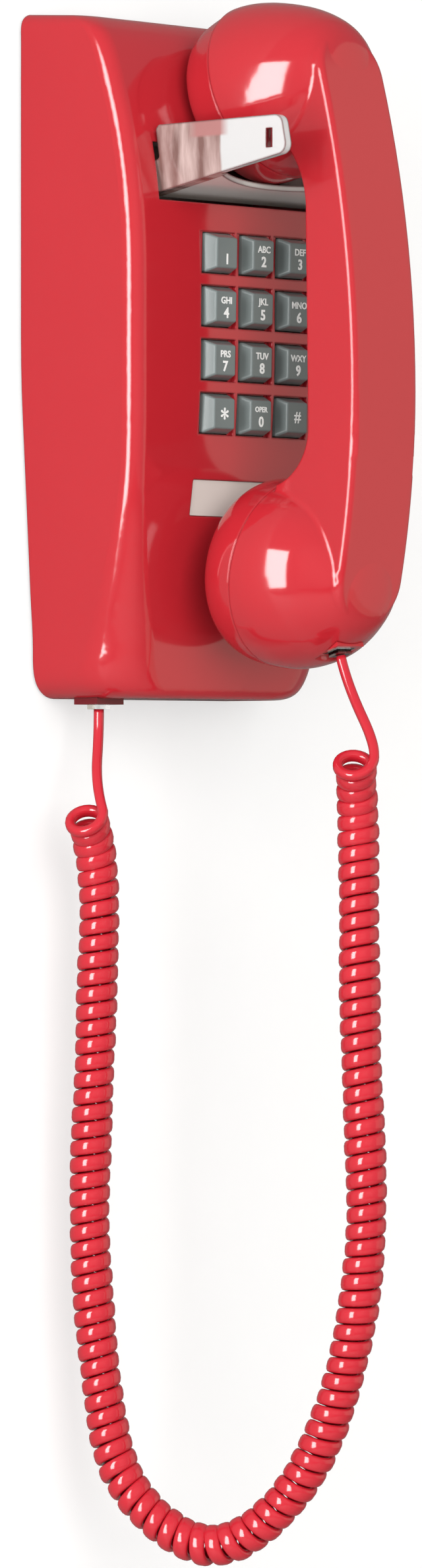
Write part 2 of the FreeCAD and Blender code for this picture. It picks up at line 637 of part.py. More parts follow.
# Ringer: two bells on posts, the coil between them, and a clapper that swings on a pin.
back_strip = block("ringer_strip", "gong_radius", "strip_thick", "50", "0", "plate_thick", "coil_foot")
arm = block("ringer_arm", "2 * gong_x + 10", "strip_thick", "9", "0", "plate_thick", "gong_z - 4.5")
post_length = "gong_depth + gong_height + 2 - plate_thick"
posts = [
    rod(f"gong_post_{i}", "post_radius", post_length, f"{side} * gong_x", "plate_thick", "gong_z")
    for i, side in enumerate((-1, 1))
]
clapper_pin = rod("clapper_pin", "1.5", "14", "0", "plate_thick", "clapper_pivot")
piece("ringer_frame", joined("ringer", back_strip, arm, *posts, clapper_pin))


def bell():
    """A shallow bell about the Y axis, open towards the wall, with a hole for its post."""
    rim, tall, thick = n("gong_radius"), n("gong_height"), n("gong_wall")
    flat, hole = 0.55 * rim, n("post_radius") + 0.1
    corner = 0.707
    outer = Part.Arc(at(0, rim), at(corner * tall, flat + (rim - flat) * corner), at(tall, flat))
    inner = Part.Arc(
        at(tall - thick, flat),
        at(corner * (tall - thick), flat + (rim - thick - flat) * corner),
        at(0, rim - thick),
    )
    lines = [
        outer,
        Part.LineSegment(at(tall, flat), at(tall, hole)),
        Part.LineSegment(at(tall, hole), at(tall - thick, hole)),
        Part.LineSegment(at(tall - thick, hole), at(tall - thick, flat)),
        inner,
        Part.LineSegment(at(0, rim - thick), at(0, rim)),
    ]
    return Part.Face(Part.Wire([line.toShape() for line in lines])).revolve(Vector(), OUT, 360)


for side, label in ((-1, "gong_left"), (1, "gong_right")):
    piece(label, place(solid(label + "_bell", bell()), f"{side} * gong_x", "gong_depth", "gong_z"))

coil_body = block("coil_core", "8", "16", "12", "0", "plate_thick + strip_thick", "coil_foot")
coil_turns = rod("coil_turns", "7.5", "12", "0", "plate_thick + 1.5 * strip_thick", "coil_foot + 8")
piece("ringer_coil", joined("coil", coil_body, coil_turns))

clapper_arm = block("clapper_arm", "2.4", "2", "clapper_reach", "0", "12", "clapper_pivot - clapper_reach")
clapper_eye = rod("clapper_eye", "3.2", "3", "0", "11.5", "clapper_pivot")
ball = doc.addObject("Part::Sphere", "clapper_head")
ball.setExpression("Radius", cells("clapper_ball"))
place(ball, "0", "13", "clapper_pivot - clapper_reach")
clapper_bore = rod("clapper_bore", "1.56", "20", "0", "5", "clapper_pivot")
piece("clapper", less("clapper_solid", joined("clapper_blank", clapper_arm, clapper_eye, ball), clapper_bore))

# Loudness wheel, fluted, with its edge in the slot under the housing.
wheel_blank = rod("wheel_blank", "wheel_radius", "wheel_thick", "0", "-wheel_thick / 2", "0")
flutes = [rod("wheel_bore", "pin_radius + 0.06", "20", "0", "-10", "0")]
for i in range(FLUTES):
    turn = f"{360 * i / FLUTES}"
    flutes.append(rod(f"flute_{i}", "0.9", "20", f"(wheel_radius + 0.35) * cos({turn})", "-10",
                      f"(wheel_radius + 0.35) * sin({turn})"))
piece("volume_wheel", place(less("wheel", wheel_blank, *flutes), "wheel_x", "wheel_depth", "wheel_z"))
shaft_length = "wheel_depth + wheel_thick - plate_thick"
piece("volume_shaft", rod("wheel_shaft", "pin_radius", shaft_length, "wheel_x", "plate_thick", "wheel_z"))

# Handset: a bar between two round cups. Each cup is turned, from its seam to a flat back that the bar's crown
# runs out on, and has a screwed cap before its seam.


def on_cup(thing, cup, angle="tilt"):
    return lean(thing, "0", f"{cup}_depth", f"{cup}_height", f"(-{cup}_{angle})")


def turned(name, curve, corners):
    """A solid turned from points (along an axis, out from it): a smooth curve, then straight runs."""
    runs = [at(a, r) for a, r in [curve[-1], *corners, curve[0]]]
    edges = [Part.LineSegment(*ends).toShape() for ends in zip(runs, runs[1:])]
    if len(curve) > 1:
        bow = Part.BSplineCurve()
        bow.interpolate([at(a, r) for a, r in curve])
        edges.insert(0, bow.toShape())
    return solid(name, Part.Face(Part.Wire(edges)).revolve(Vector(), OUT, 360))


def drum(name, cup, radius, front, back):
    """A plain round solid on a cup's axis, between two places along it."""
    return on_cup(turned(name, [(front, 0)], [(front, radius), (back, radius), (back, 0)]), cup)


EAR_BACK = [
    (-6.0, 31.0), (0.0, 31.0), (8.0, 29.4), (16.0, 26.7), (24.0, 23.1),
    (30.0, 19.3), (34.0, 15.6), (36.2, 11.0), (36.9, 5.5), (37.0, 0.0),
]
MOUTH_BACK = [
    (-6.0, 32.4), (0.0, 32.4), (8.0, 31.7), (15.0, 29.6), (21.0, 26.7), (26.0, 22.9),
    (30.0, 19.2), (33.4, 15.4), (35.4, 11.0), (36.1, 5.5), (36.2, 0.0),
]


def dome(cup, back):
    """A cup from its seam to its flat back, turned about an axis that leans less than the seam's own."""
    form = on_cup(turned(f"{cup}_form", back, [(back[0][0], 0)]), cup, "lean")
    return less(f"{cup}_cup", form, drum(f"{cup}_front", cup, n("2 * mouth_radius"), -n("mouth_radius"), 0))


def arc(first, middle, last, x):
    return Part.Arc(at(*first, x), at(*middle, x), at(*last, x)).toShape()


def line(first, last, x):
    return Part.LineSegment(at(*first, x), at(*last, x)).toShape()


def crown(height):
    """The handle's outermost line: two long arcs that meet where it stands out most."""
    rise = height - n("crown_height")
    sweep = n("crown_upper") if rise > 0 else n("crown_lower")
    return n("crown_depth") - drawn_in(sweep, abs(rise)), height


CROWN_TOP, CROWN_HIGH, CROWN_LOW, CROWN_FOOT = crown(112.0), crown(45.0), crown(-55.0), crown(-97.0)
CROWN_PEAK = crown(n("crown_height"))
HEAD_ROOT, HEAD_HEART = (80.0, 112.0), (80.0, 80.0)
NECK_HIGH, NECK_BEND, NECK_LOW = (86.5, 67.5), (92.2, 57.0), (93.6, 45.0)
GRIP_MIDDLE = (94.3, 5.0)
THROAT_HIGH, THROAT_BEND, THROAT_LOW = (94.7, -26.0), (90.5, -38.5), (80.0, -45.5)
CHIN_HEART, CHIN_ROOT = (78.0, -60.0), (80.0, -97.0)


def bar_face(x):
    """The handle's outline from the side: crown, chin, throat, grip, neck and head."""
    return Part.Face(Part.Wire([
        arc(CROWN_TOP, CROWN_HIGH, CROWN_PEAK, x),
        arc(CROWN_PEAK, CROWN_LOW, CROWN_FOOT, x),
        line(CROWN_FOOT, CHIN_ROOT, x),
        line(CHIN_ROOT, CHIN_HEART, x),
        line(CHIN_HEART, THROAT_LOW, x),
        arc(THROAT_LOW, THROAT_BEND, THROAT_HIGH, x),
        arc(THROAT_HIGH, GRIP_MIDDLE, NECK_LOW, x),
        arc(NECK_LOW, NECK_BEND, NECK_HIGH, x),
        line(NECK_HIGH, HEAD_HEART, x),
        line(HEAD_HEART, HEAD_ROOT, x),
        line(HEAD_ROOT, CROWN_TOP, x),
    ]))


def bar_front():
    """The handle's outline from the front: straight sides and half-round ends, as a block through the bar."""
    half, low, high = n("grip_half"), n("grip_foot"), n("grip_head")
    rear = n("ear_depth")
    ring = Part.Wire([
        Part.LineSegment(at(rear, low, -half), at(rear, high, -half)).toShape(),
        Part.Arc(at(rear, high, -half), at(rear, high + half), at(rear, high, half)).toShape(),
        Part.LineSegment(at(rear, high, half), at(rear, low, half)).toShape(),
        Part.Arc(at(rear, low, half), at(rear, low - half), at(rear, low, -half)).toShape(),
    ])
    return Part.Face(ring).extrude(OUT * n("crown_depth"))


def along(edge):
    """Five points along an edge."""
    span = edge.LastParameter - edge.FirstParameter
    return [edge.valueAt(edge.FirstParameter + share * span) for share in (0, 0.25, 0.5, 0.75, 1)]


def on_crown(edge):
    """Whether an edge bounds the crown: it lies on it and does not cross it at its peak."""
    points = along(edge)
    level = max(p.z for p in points) - min(p.z for p in points) < 0.001
    return not level and all(abs(-p.y - crown(p.z)[0]) < 0.01 for p in points)


def on_flank(edge):
    """Whether an edge lies on one of the handle's two flat sides."""
    return all(abs(abs(p.x) - n("grip_half")) < 0.001 for p in along(edge))


bar = bar_face(-n("grip_half")).extrude(ACROSS * n("2 * grip_half")).common(bar_front())
bar = bar.makeFillet(n("grip_round"), [e for e in bar.Edges if on_crown(e)])
cups = [dome("ear", EAR_BACK), dome("mouth", MOUTH_BACK)]
doc.recompute()
grip = bar.fuse([cup.Shape for cup in cups]).removeSplitter()


def hollows(shape):
    """The four long hollow edges where the handle's flat sides run into the cups."""
    curves = [e for e in shape.Edges if on_flank(e) and e.Curve.TypeId == "Part::GeomBSplineCurve"]
    return [e for e in curves if e.Length > n("grip_half")]


grip = grip.makeFillet(n("blend_radius"), hollows(grip))
bores = [drum(f"{cup}_bore", cup, n("thread_radius"), -1, n("thread_depth")) for cup in ("ear", "mouth")]


def on_socket(thing):
    """Stands a jack or plug, made facing down, at the handset's lower end."""
    thing.Placement = Placement(Vector(), Rotation(ACROSS, -n("socket_lean")))
    return place(thing, "0", "socket_depth", "socket_height")


SOCKET_TALL, SOCKET_MOUTH = 13.0, 4.0
pocket_wide, pocket_deep = n("jack_width + 2 * fit_gap"), n("jack_deep + 2 * fit_gap")
pocket_tall = SOCKET_MOUTH + SOCKET_TALL + n("fit_gap")
pocket_corner = Vector(-pocket_wide / 2, -pocket_deep / 2, -SOCKET_MOUTH)
socket = on_socket(solid("socket_pocket", Part.makeBox(pocket_wide, pocket_deep, pocket_tall, pocket_corner)))
piece("handset_handle", less("handle", solid("handle_form", grip), *bores, socket))
piece("handset_jack", on_socket(modular_jack("handset_socket", str(SOCKET_TALL))))
piece("handset_plug", on_socket(modular_plug("handset_cord_plug")))

SKIRT, LIP = 8.0, 0.6
hollow, wall_in = n("capsule_radius") + 0.4, n("thread_radius") - 0.4


def cap(cup, outer, face, face_in):
    """A screwed cap: its smooth outside from the seam forward, its face, and a skirt in the cup's bore."""
    rim = n(f"{cup}_radius")
    outside = [(-LIP, rim), *outer]
    inside = [(face_in, 0), (face_in, hollow), (SKIRT, hollow)]
    inside += [(SKIRT, wall_in), (0, wall_in), (0, rim - LIP)]
    return on_cup(turned(f"{cup}_cap_shell", outside, face + inside), cup)


def sound_holes(cup, rings):
    """Round holes through a cap's face: one in the middle and rings (count, radius) about it."""
    spots = [("0", "0")]
    for count, radius in rings:
        for i in range(count):
            spots.append((f"{radius} * cos({360 * i / count})", f"{radius} * sin({360 * i / count})"))
    bit = ("sound_hole", "capsule_radius")
    drills = [rod(f"{cup}_hole_{i}", *bit, x, "-capsule_radius", up) for i, (x, up) in enumerate(spots)]
    return on_cup(joined(f"{cup}_holes", *drills), cup)


EAR_OUTER = [(-5.0, 30.4), (-10.0, 29.7), (-13.0, 28.6), (-14.7, 26.7), (-15.2, 24.0)]
EAR_FACE = [(-15.2, 22.0), (-13.6, 6.0), (-13.6, 0)]
MOUTH_OUTER = [(-6.0, 32.1), (-11.0, 31.0), (-14.6, 29.0), (-16.8, 26.0), (-17.5, 22.5)]
MOUTH_FACE = [(-17.5, 20.0), (-16.4, 6.0), (-16.4, 0)]
ear_cap = cap("ear", EAR_OUTER, EAR_FACE, -12.4)
mouth_cap = cap("mouth", MOUTH_OUTER, MOUTH_FACE, -15.1)
piece("receiver_cap", less("ear_cap_drilled", ear_cap, sound_holes("ear", [(6, 8.0)])))
piece("transmitter_cap", less("mouth_cap_drilled", mouth_cap, sound_holes("mouth", [(6, 7.0), (12, 14.0)])))
capsule = n("capsule_radius")
piece("receiver_capsule", drum("ear_unit", "ear", capsule, -12.2, 4.0))
piece("transmitter_capsule", drum("mouth_unit", "mouth", capsule, -14.9, -3.0))
piece("transmitter_cup", drum("mouth_contacts", "mouth", capsule, -2.8, 6.0))

# Handset cord: a straight tail at each end and one long run of curls that hangs in a loop.
# A place on it is (along the loop's plane to the right, out of that plane to the front, height).
cord_start = at(n("jack_depth"), n("jack_foot"), n("cord_x"))
cord_right = Vector(math.sin(math.radians(n("cord_turn"))), -math.cos(math.radians(n("cord_turn"))), 0)
cord_front = Vector(cord_right.y, -cord_right.x, 0)


def hang(along, front, height):
    place_on_wall = cord_start + cord_right * along + cord_front * front
    return Vector(place_on_wall.x, place_on_wall.y, height)


LOOP = [
    (-2.8, 14, -152), (-1.5, 8.5, -157.5), (0.5, 5, -165), (2.2, 4, -177), (2.6, 4, -191), (1.8, 4, -212),
    (1.1, 4, -238), (-0.4, 4, -268), (-1.2, 4, -296), (0.4, 4, -325), (3, 4, -350), (7.5, 4, -378),
    (17, 4, -393), (30, 4, -403.5), (42, 4, -407.3), (54, 4, -403.5), (66, 4, -393), (76, 4, -380),
    (84, 4, -363), (90.5, 4, -342), (95, 4, -318), (97, 4, -292), (96, 4, -264), (94.6, 4, -235),
    (94, 4, -205), (94, 4, -178), (93.8, 4.2, -166), (92.6, 5.5, -152), (91.4, 10.5, -142.5),
    (90.8, 18.5, -136.5),
]


def smooth(points):
    """Straight runs joined by tangent arcs, each as large as its runs allow, and the arcs' radii."""
    edges, radii, last = [], [], points[0]
    for before, corner, after in zip(points, points[1:], points[2:]):
        back, on = before - corner, after - corner
        turn = math.pi - back.getAngle(on)
        run = 0.45 * min(back.Length, on.Length)
        radius = run / math.tan(turn / 2)
        first, final = corner + back.normalize() * run, corner + on.normalize() * run
        inward = (back + on).normalize()
        middle = corner + inward * (radius / math.cos(turn / 2) - radius)
        edges += [Part.LineSegment(last, first).toShape(), Part.Arc(first, middle, final).toShape()]
        radii.append(radius)
        last = final
    edges.append(Part.LineSegment(last, points[-1]).toShape())
    return edges, radii


def pipe(edges):
    """A round cord along a path, its volume checked against section times length."""
    path = Part.Wire(edges)
    start = edges[0].valueAt(edges[0].FirstParameter)
    heading = edges[0].tangentAt(edges[0].FirstParameter)
    ring = Part.Wire([Part.Circle(start, heading, n("cord_thick / 2")).toShape()])
    tube = path.makePipeShell([ring], True, False)
    expected = math.pi * n("cord_thick / 2") ** 2 * path.Length
    print("cord length", round(path.Length, 1), "volume over its sum", round(tube.Volume / expected, 4))
    return tube


def curl_points(count):
    """Points and headings of the curls' middle line, each half turn, on a frame carried along the loop."""
    runs, radii = smooth([hang(*spot) for spot in LOOP])
    print("loop radii", [round(r, 1) for r in radii])
    total = sum(run.Length for run in runs)
    around = n("coil_radius")
    frames, gone = [], 0.0
    across = cord_right
    for run in runs:
        frames.append((gone, run, across))
        enter, leave = run.tangentAt(run.FirstParameter), run.tangentAt(run.LastParameter)
        across = Rotation(enter, leave).multVec(across)
        gone += run.Length

    def spot(distance):
        distance = min(max(distance, 0.0), total)
        begin, run, across = max((f for f in frames if f[0] <= distance), key=lambda f: f[0])
        span = run.LastParameter - run.FirstParameter
        share = run.FirstParameter + span * (distance - begin) / run.Length
        enter, here = run.tangentAt(run.FirstParameter), run.tangentAt(share)
        side = Rotation(enter, here).multVec(across)
        side = (side - here * side.dot(here)).normalize()
        angle = 2 * math.pi * CURLS * distance / total
        return run.valueAt(share) + (side * math.cos(angle) + here.cross(side) * math.sin(angle)) * around

    step = 0.01
    places = []
    for i in range(count + 1):
        distance = step + (total - 2 * step) * i / count
        heading = (spot(distance + step) - spot(distance - step)).normalize()
        places.append((spot(distance), heading))
    return places


def bend(start, heading, end):
    """An arc from a start, along a heading, to an end."""
    chord = end - start
    slant = heading.getAngle(chord)
    aside = (heading - chord * (heading.dot(chord) / chord.Length**2)).normalize()
    middle = start + chord * 0.5 + aside * (chord.Length / 2 * math.tan(slant / 2))
    return Part.Arc(start, middle, end).toShape()


def biarc(start, heading, end, final):
    """Two arcs that meet smoothly, from one place and heading to another."""
    chord, both = end - start, heading + final
    spread = 2 * (1 - heading.dot(final))
    reach = (-chord.dot(both) + math.sqrt(chord.dot(both) ** 2 + spread * chord.dot(chord))) / spread
    meet = (start + heading * reach + end - final * reach) * 0.5
    last = bend(end, final * -1, meet)
    return [bend(start, heading, meet), Part.Arc(meet, along(last)[2], end).toShape()]


def least_gap(path):
    """The least clear distance between one curl and the next, from points of the cord's middle line."""
    apart = math.pi * n("coil_radius")
    points, gone = [], 0.0
    for edge in path:
        parts = 6
        span = edge.LastParameter - edge.FirstParameter
        for i in range(parts):
            share = i / parts
            points.append((gone + edge.Length * share, edge.valueAt(edge.FirstParameter + span * share)))
        gone += edge.Length
    window = 60
    near = min(
        (other[1] - point[1]).Length
        for i, point in enumerate(points)
        for other in points[i + 1:i + window]
        if other[0] - point[0] > apart
    )
    return near - n("cord_thick")


curl = curl_points(round(2 * CURLS))
lead = n("cord_thick")
coil_first, coil_last = curl[0][0] - curl[0][1] * lead, curl[-1][0] + curl[-1][1] * lead
coil_path = [Part.LineSegment(coil_first, curl[0][0]).toShape()]
for (start, heading), (end, final) in zip(curl, curl[1:]):
    coil_path += biarc(start, heading, end, final)
coil_path.append(Part.LineSegment(curl[-1][0], coil_last).toShape())
print("least gap between curls", round(least_gap(coil_path), 2))
piece("cord_coil", solid("coil_cord", pipe(coil_path)))

CLEAR = 0.3
LEAD_RUN = 12.4
DROP = 8.0
base_exit = at(n("jack_depth"), n("jack_foot - plug_proud"), n("jack_x"))
base_route = [base_exit, base_exit - UP * DROP, coil_first - curl[0][1] * LEAD_RUN, coil_first]
socket_way = Rotation(ACROSS, -n("socket_lean")).multVec(UP) * -1
handset_exit = at(n("socket_depth"), n("socket_height")) + socket_way * (n("plug_proud") + CLEAR)
leave, enter = coil_last + curl[-1][1] * LEAD_RUN, handset_exit + socket_way * LEAD_RUN
handset_route = [coil_last, leave, enter, handset_exit]
for label, route in (("cord_base_tail", base_route), ("cord_handset_tail", handset_route)):
    edges, radii = smooth(route)
    print(label, "radii", [round(r, 1) for r in radii])
    piece(label, solid(label + "_tube", pipe(edges)))

# Every object must have come out sound before a piece is written.
doc.recompute()
failed = [o.Name for o in doc.Objects if "Invalid" in o.State or "Error" in o.State]
failed += [o.Label for o in finished if o.Shape.isNull() or not o.Shape.isValid()]
if failed:
    raise RuntimeError(f"not sound: {failed}")
os.makedirs("parts", exist_ok=True)
for thing in finished:
    thing.Shape.exportStep(f"parts/{thing.Label}.step")
print(len(finished), "pieces written")
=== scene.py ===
import math

import bmesh
import bpy
import numpy as np
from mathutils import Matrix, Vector


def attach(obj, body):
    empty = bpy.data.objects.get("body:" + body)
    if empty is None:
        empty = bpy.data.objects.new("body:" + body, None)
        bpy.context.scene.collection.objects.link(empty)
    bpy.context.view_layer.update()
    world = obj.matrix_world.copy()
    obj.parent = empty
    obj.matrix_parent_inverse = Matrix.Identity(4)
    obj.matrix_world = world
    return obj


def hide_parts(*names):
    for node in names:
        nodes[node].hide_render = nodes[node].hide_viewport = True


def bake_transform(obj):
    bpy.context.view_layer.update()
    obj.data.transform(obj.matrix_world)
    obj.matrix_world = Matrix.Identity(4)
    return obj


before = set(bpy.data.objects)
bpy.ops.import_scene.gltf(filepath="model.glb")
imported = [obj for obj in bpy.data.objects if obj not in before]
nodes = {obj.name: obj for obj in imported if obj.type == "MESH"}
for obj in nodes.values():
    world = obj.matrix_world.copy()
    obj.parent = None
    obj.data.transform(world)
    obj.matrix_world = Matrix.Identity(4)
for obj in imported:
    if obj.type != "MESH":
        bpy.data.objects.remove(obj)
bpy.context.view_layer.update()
scene = bpy.context.scene
scene.view_settings.view_transform = "Standard"


# --------------------------------------------------------------------- camera
# A long lens, level, about two and a half metres from the telephone, well to
# its left and a little below its middle.
PICTURE_HIGH = 2380
FOCAL_PIXELS = 10570
CAMERA_SPOT = (-1.743, -1.6885, -0.1467)
CAMERA_WAY = (0.7254, 0.6884, 0.0)
lens = bpy.data.cameras.new("long_lens")
lens.sensor_fit = "VERTICAL"
lens.sensor_height = 36.0
lens.lens = lens.sensor_height * FOCAL_PIXELS / PICTURE_HIGH
camera = bpy.data.objects.new("camera", lens)
camera.location = CAMERA_SPOT
camera.rotation_euler = Vector(CAMERA_WAY).to_track_quat("-Z", "Y").to_euler()
scene.collection.objects.link(camera)
scene.camera = camera


# ------------------------------------------------------------- wall and floor
# A white painted wall that sweeps round into a pale floor far below. It is
# see-through from behind and from close by, so that the telephone's back can
# be looked at too, and greyer in mirror images than when it is looked at.
WALL_BEHIND = 0.0005
WALL_HALF = 3.0
WALL_TOP = 1.6
FLOOR_LEVEL = -1.3
FLOOR_FRONT = -4.5
SWEEP = 0.4
SWEEP_POINTS = 17
PAINT_DARK, PAINT_PALE = (0.49, 0.49, 0.49), (0.51, 0.51, 0.51)
PAINT_MIRRORED = (0.26, 0.26, 0.26)
WALL_GLOW = 0.52


def new_mesh(name, points, *faces, smooth=True):
    """An object of its own mesh, at the origin, from an array of points and arrays of faces."""
    mesh = bpy.data.meshes.new(name)
    face_list = [face for block in faces for face in block.tolist()]
    mesh.from_pydata(points.reshape(-1, 3).tolist(), [], face_list)
    mesh.polygons.foreach_set("use_smooth", [smooth] * len(mesh.polygons))
    mesh.update()
    thing = bpy.data.objects.new(name, mesh)
    scene.collection.objects.link(thing)
    return thing


def grid_faces(rows, columns, close_rows=False, close_columns=False):
    """The four-sided faces between neighbours of a rows by columns grid of points."""
    i, j = np.meshgrid(
        np.arange(rows if close_rows else rows - 1),
        np.arange(columns if close_columns else columns - 1),
        indexing="ij",
    )
    i2, j2 = (i + 1) % rows, (j + 1) % columns
    corners = [i * columns + j, i * columns + j2, i2 * columns + j2, i2 * columns + j]
    return np.stack(corners, -1).reshape(-1, 4)


def new_material(name):
    """A node material, with its tree and its shader."""
    material = bpy.data.materials.new(name)
    material.use_nodes = True
    return material, material.node_tree, material.node_tree.nodes["Principled BSDF"]


def add(tree, kind, **values):
    """One more node in the tree, with its settings and its sockets' plain values."""
    node = tree.nodes.new(kind)
    for key, value in values.items():
        if key in node.inputs:
            node.inputs[key].default_value = value
        else:
            setattr(node, key, value)
    return node


def feed(tree, value, socket):
    """Leads a node's output into a socket, or sets the plain number or colour that it holds."""
    if isinstance(value, bpy.types.NodeSocket):
        tree.links.new(value, socket)
    elif socket.type == "RGBA":
        socket.default_value = (*value, 1)
    else:
        socket.default_value = value


def own_place(tree):
    """A point's place on its own object."""
    return add(tree, "ShaderNodeTexCoord").outputs["Object"]


def noise(tree, place, scale, detail):
    """Cloudy noise, from nought to one."""
    node = add(tree, "ShaderNodeTexNoise", Detail=detail)
    feed(tree, place, node.inputs["Vector"])
    feed(tree, scale, node.inputs["Scale"])
    return node.outputs["Fac"]


def maths(tree, operation, *terms, clamp=False):
    """The result of one operation on outputs and plain numbers."""
    node = add(tree, "ShaderNodeMath", operation=operation, use_clamp=clamp)
    for socket, term in zip(node.inputs, terms):
        feed(tree, term, socket)
    return node.outputs[0]


def mixed(tree, share, first, second):
    """The first colour where the share is nought, the second where it is one."""
    node = add(tree, "ShaderNodeMix", data_type="RGBA")
    for label, value in (("Factor", share), ("A", first), ("B", second)):
        feed(tree, value, node.inputs[label])
    return node.outputs["Result"]


# wall: a straight run, a quarter circle of radius SWEEP and a second straight run, drawn sideways
quarter = np.linspace(0, math.pi / 2, SWEEP_POINTS)
sweep_y = -SWEEP + SWEEP * np.cos(quarter)
sweep_z = FLOOR_LEVEL + SWEEP - SWEEP * np.sin(quarter)
profile_y = WALL_BEHIND + np.concatenate([[0.0], sweep_y, [FLOOR_FRONT]])
profile_z = np.concatenate([[WALL_TOP], sweep_z, [FLOOR_LEVEL]])
edge_x = np.array([-WALL_HALF, WALL_HALF])
wall_points = np.broadcast_arrays(edge_x[None, :], profile_y[:, None], profile_z[:, None])
wall_faces = grid_faces(len(profile_y), len(edge_x))[:, ::-1]
wall = new_mesh("wall_and_floor", np.stack(wall_points, -1), wall_faces)

wall_paint, tree, shader = new_material("wall_paint")
shader.inputs["Roughness"].default_value = 0.9
shader.inputs["Specular IOR Level"].default_value = 0.0
shader.inputs["Emission Color"].default_value = (1, 1, 1, 1)
ray = add(tree, "ShaderNodeLightPath").outputs
side = add(tree, "ShaderNodeNewGeometry").outputs
paint = mixed(tree, noise(tree, own_place(tree), 60.0, 3.0), PAINT_DARK, PAINT_PALE)
paint = mixed(tree, ray["Is Glossy Ray"], paint, PAINT_MIRRORED)
feed(tree, paint, shader.inputs["Base Color"])
looked_at = maths(tree, "MAXIMUM", ray["Is Camera Ray"], ray["Is Transmission Ray"])
feed(tree, maths(tree, "MULTIPLY", looked_at, WALL_GLOW), shader.inputs["Emission Strength"])
back_or_shadow = maths(tree, "MAXIMUM", side["Backfacing"], ray["Is Shadow Ray"])
close_by = maths(tree, "LESS_THAN", ray["Ray Length"], 4 * WALL_BEHIND)
wall_or_nothing = add(tree, "ShaderNodeMixShader")
nothing = add(tree, "ShaderNodeBsdfTransparent")
see_through = maths(tree, "MAXIMUM", back_or_shadow, close_by)
for source, socket in zip((see_through, shader.outputs[0], nothing.outputs[0]), wall_or_nothing.inputs):
    tree.links.new(source, socket)
tree.links.new(wall_or_nothing.outputs[0], tree.nodes["Material Output"].inputs["Surface"])
wall.data.materials.append(wall_paint)


# ---------------------------------------------------------------------- light
# Soft light: one bright diffuser far to the left, a broad warm reflector to the
# right, a fill by the camera that no surface mirrors, and a pale surround that
# is dimmer in mirror images.
SURROUND_COLOUR = (0.97, 0.98, 1.0)
SURROUND_PLAIN, SURROUND_MIRRORED = 0.40, 0.26
# each lamp: azimuth and height in degrees, distance, width, height, watts, colour, mirrored or not
LAMPS = {
    "diffuser_left": (-79.0, 5.0, 2.6, 0.96, 2.15, 51.0, (1.0, 1.0, 1.0), True),
    "reflector_right": (48.0, 2.0, 2.6, 2.8, 2.6, 7.5, (1.0, 0.84, 0.64), True),
    "fill_front": (-30.0, 12.0, 3.0, 2.4, 2.4, 66.0, (1.0, 0.98, 0.95), False),
}


def ramp(tree, value, start, end, first=0.0, last=1.0):
    """Goes evenly from first to last as the value goes from start to end, and stays there."""
    node = add(tree, "ShaderNodeMapRange")
    ends = {"Value": value, "From Min": start, "From Max": end, "To Min": first, "To Max": last}
    for label, amount in ends.items():
        feed(tree, amount, node.inputs[label])
    return node.outputs["Result"]


for name, (azimuth, height, distance, wide, high, watts, colour, is_mirrored) in LAMPS.items():
    lamp = bpy.data.lights.new(name, "AREA")
    lamp.shape = "RECTANGLE"
    lamp.size, lamp.size_y, lamp.energy, lamp.color = wide, high, watts, colour
    stand = bpy.data.objects.new(name, lamp)
    a, e = math.radians(azimuth), math.radians(height)
    way = Vector((math.sin(a) * math.cos(e), -math.cos(a) * math.cos(e), math.sin(e)))
    stand.location = way * distance
    stand.rotation_euler = way.to_track_quat("Z", "Y").to_euler()
    stand.visible_glossy = is_mirrored
    scene.collection.objects.link(stand)
surround = bpy.data.worlds.new("surround")
surround.use_nodes = True
tree = surround.node_tree
glossy_ray = add(tree, "ShaderNodeLightPath").outputs["Is Glossy Ray"]
strength = ramp(tree, glossy_ray, 0.0, 1.0, SURROUND_PLAIN, SURROUND_MIRRORED)
feed(tree, SURROUND_COLOUR, tree.nodes["Background"].inputs["Color"])
feed(tree, strength, tree.nodes["Background"].inputs["Strength"])
scene.world = surround


# --------------------------------------------------------- shared plastic skin
# Moulded plastic is never one even colour: pigment flow leaves broad clouds,
# the tool's polish leaves a faint peel, and handling leaves uneven gloss.
def new_group(name, inputs, outputs):
    """An empty shader group with named sockets, its tree, its way in and its way out."""
    group = bpy.data.node_groups.new(name, "ShaderNodeTree")
    for label, kind, value in inputs:
        socket = group.interface.new_socket(name=label, in_out="INPUT", socket_type=kind)
        socket.default_value = value
    for label, kind in outputs:
        group.interface.new_socket(name=label, in_out="OUTPUT", socket_type=kind)
    return group, group.nodes.new("NodeGroupInput").outputs, group.nodes.new("NodeGroupOutput").inputs


def shaded(tree, colour, value):
    """A colour made lighter or darker by a factor."""
    node = add(tree, "ShaderNodeHueSaturation")
    feed(tree, colour, node.inputs["Color"])
    feed(tree, value, node.inputs["Value"])
    return node.outputs["Color"]


FLOAT, COLOUR = "NodeSocketFloat", "NodeSocketColor"
SURFACE = [("Colour", COLOUR), ("Roughness", FLOAT), ("Height", FLOAT)]
moulded_skin, given, result = new_group(
    "moulded_skin",
    [
        ("Colour", COLOUR, (0.5, 0.5, 0.5, 1)),
        ("Cloud", FLOAT, 0.1),
        ("Roughness", FLOAT, 0.3),
        ("Uneven", FLOAT, 0.1),
        ("Peel", FLOAT, 200.0),
    ],
    SURFACE,
)
place = own_place(moulded_skin)
cloud = maths(moulded_skin, "SUBTRACT", noise(moulded_skin, place, 22.0, 4.0), 0.5)
shade = maths(moulded_skin, "MULTIPLY_ADD", cloud, given["Cloud"], 1.0)
handled = maths(moulded_skin, "SUBTRACT", noise(moulded_skin, place, 70.0, 6.0), 0.5)
gloss = (handled, given["Uneven"], given["Roughness"])
feed(moulded_skin, shaded(moulded_skin, given["Colour"], shade), result["Colour"])
feed(moulded_skin, maths(moulded_skin, "MULTIPLY_ADD", *gloss, clamp=True), result["Roughness"])
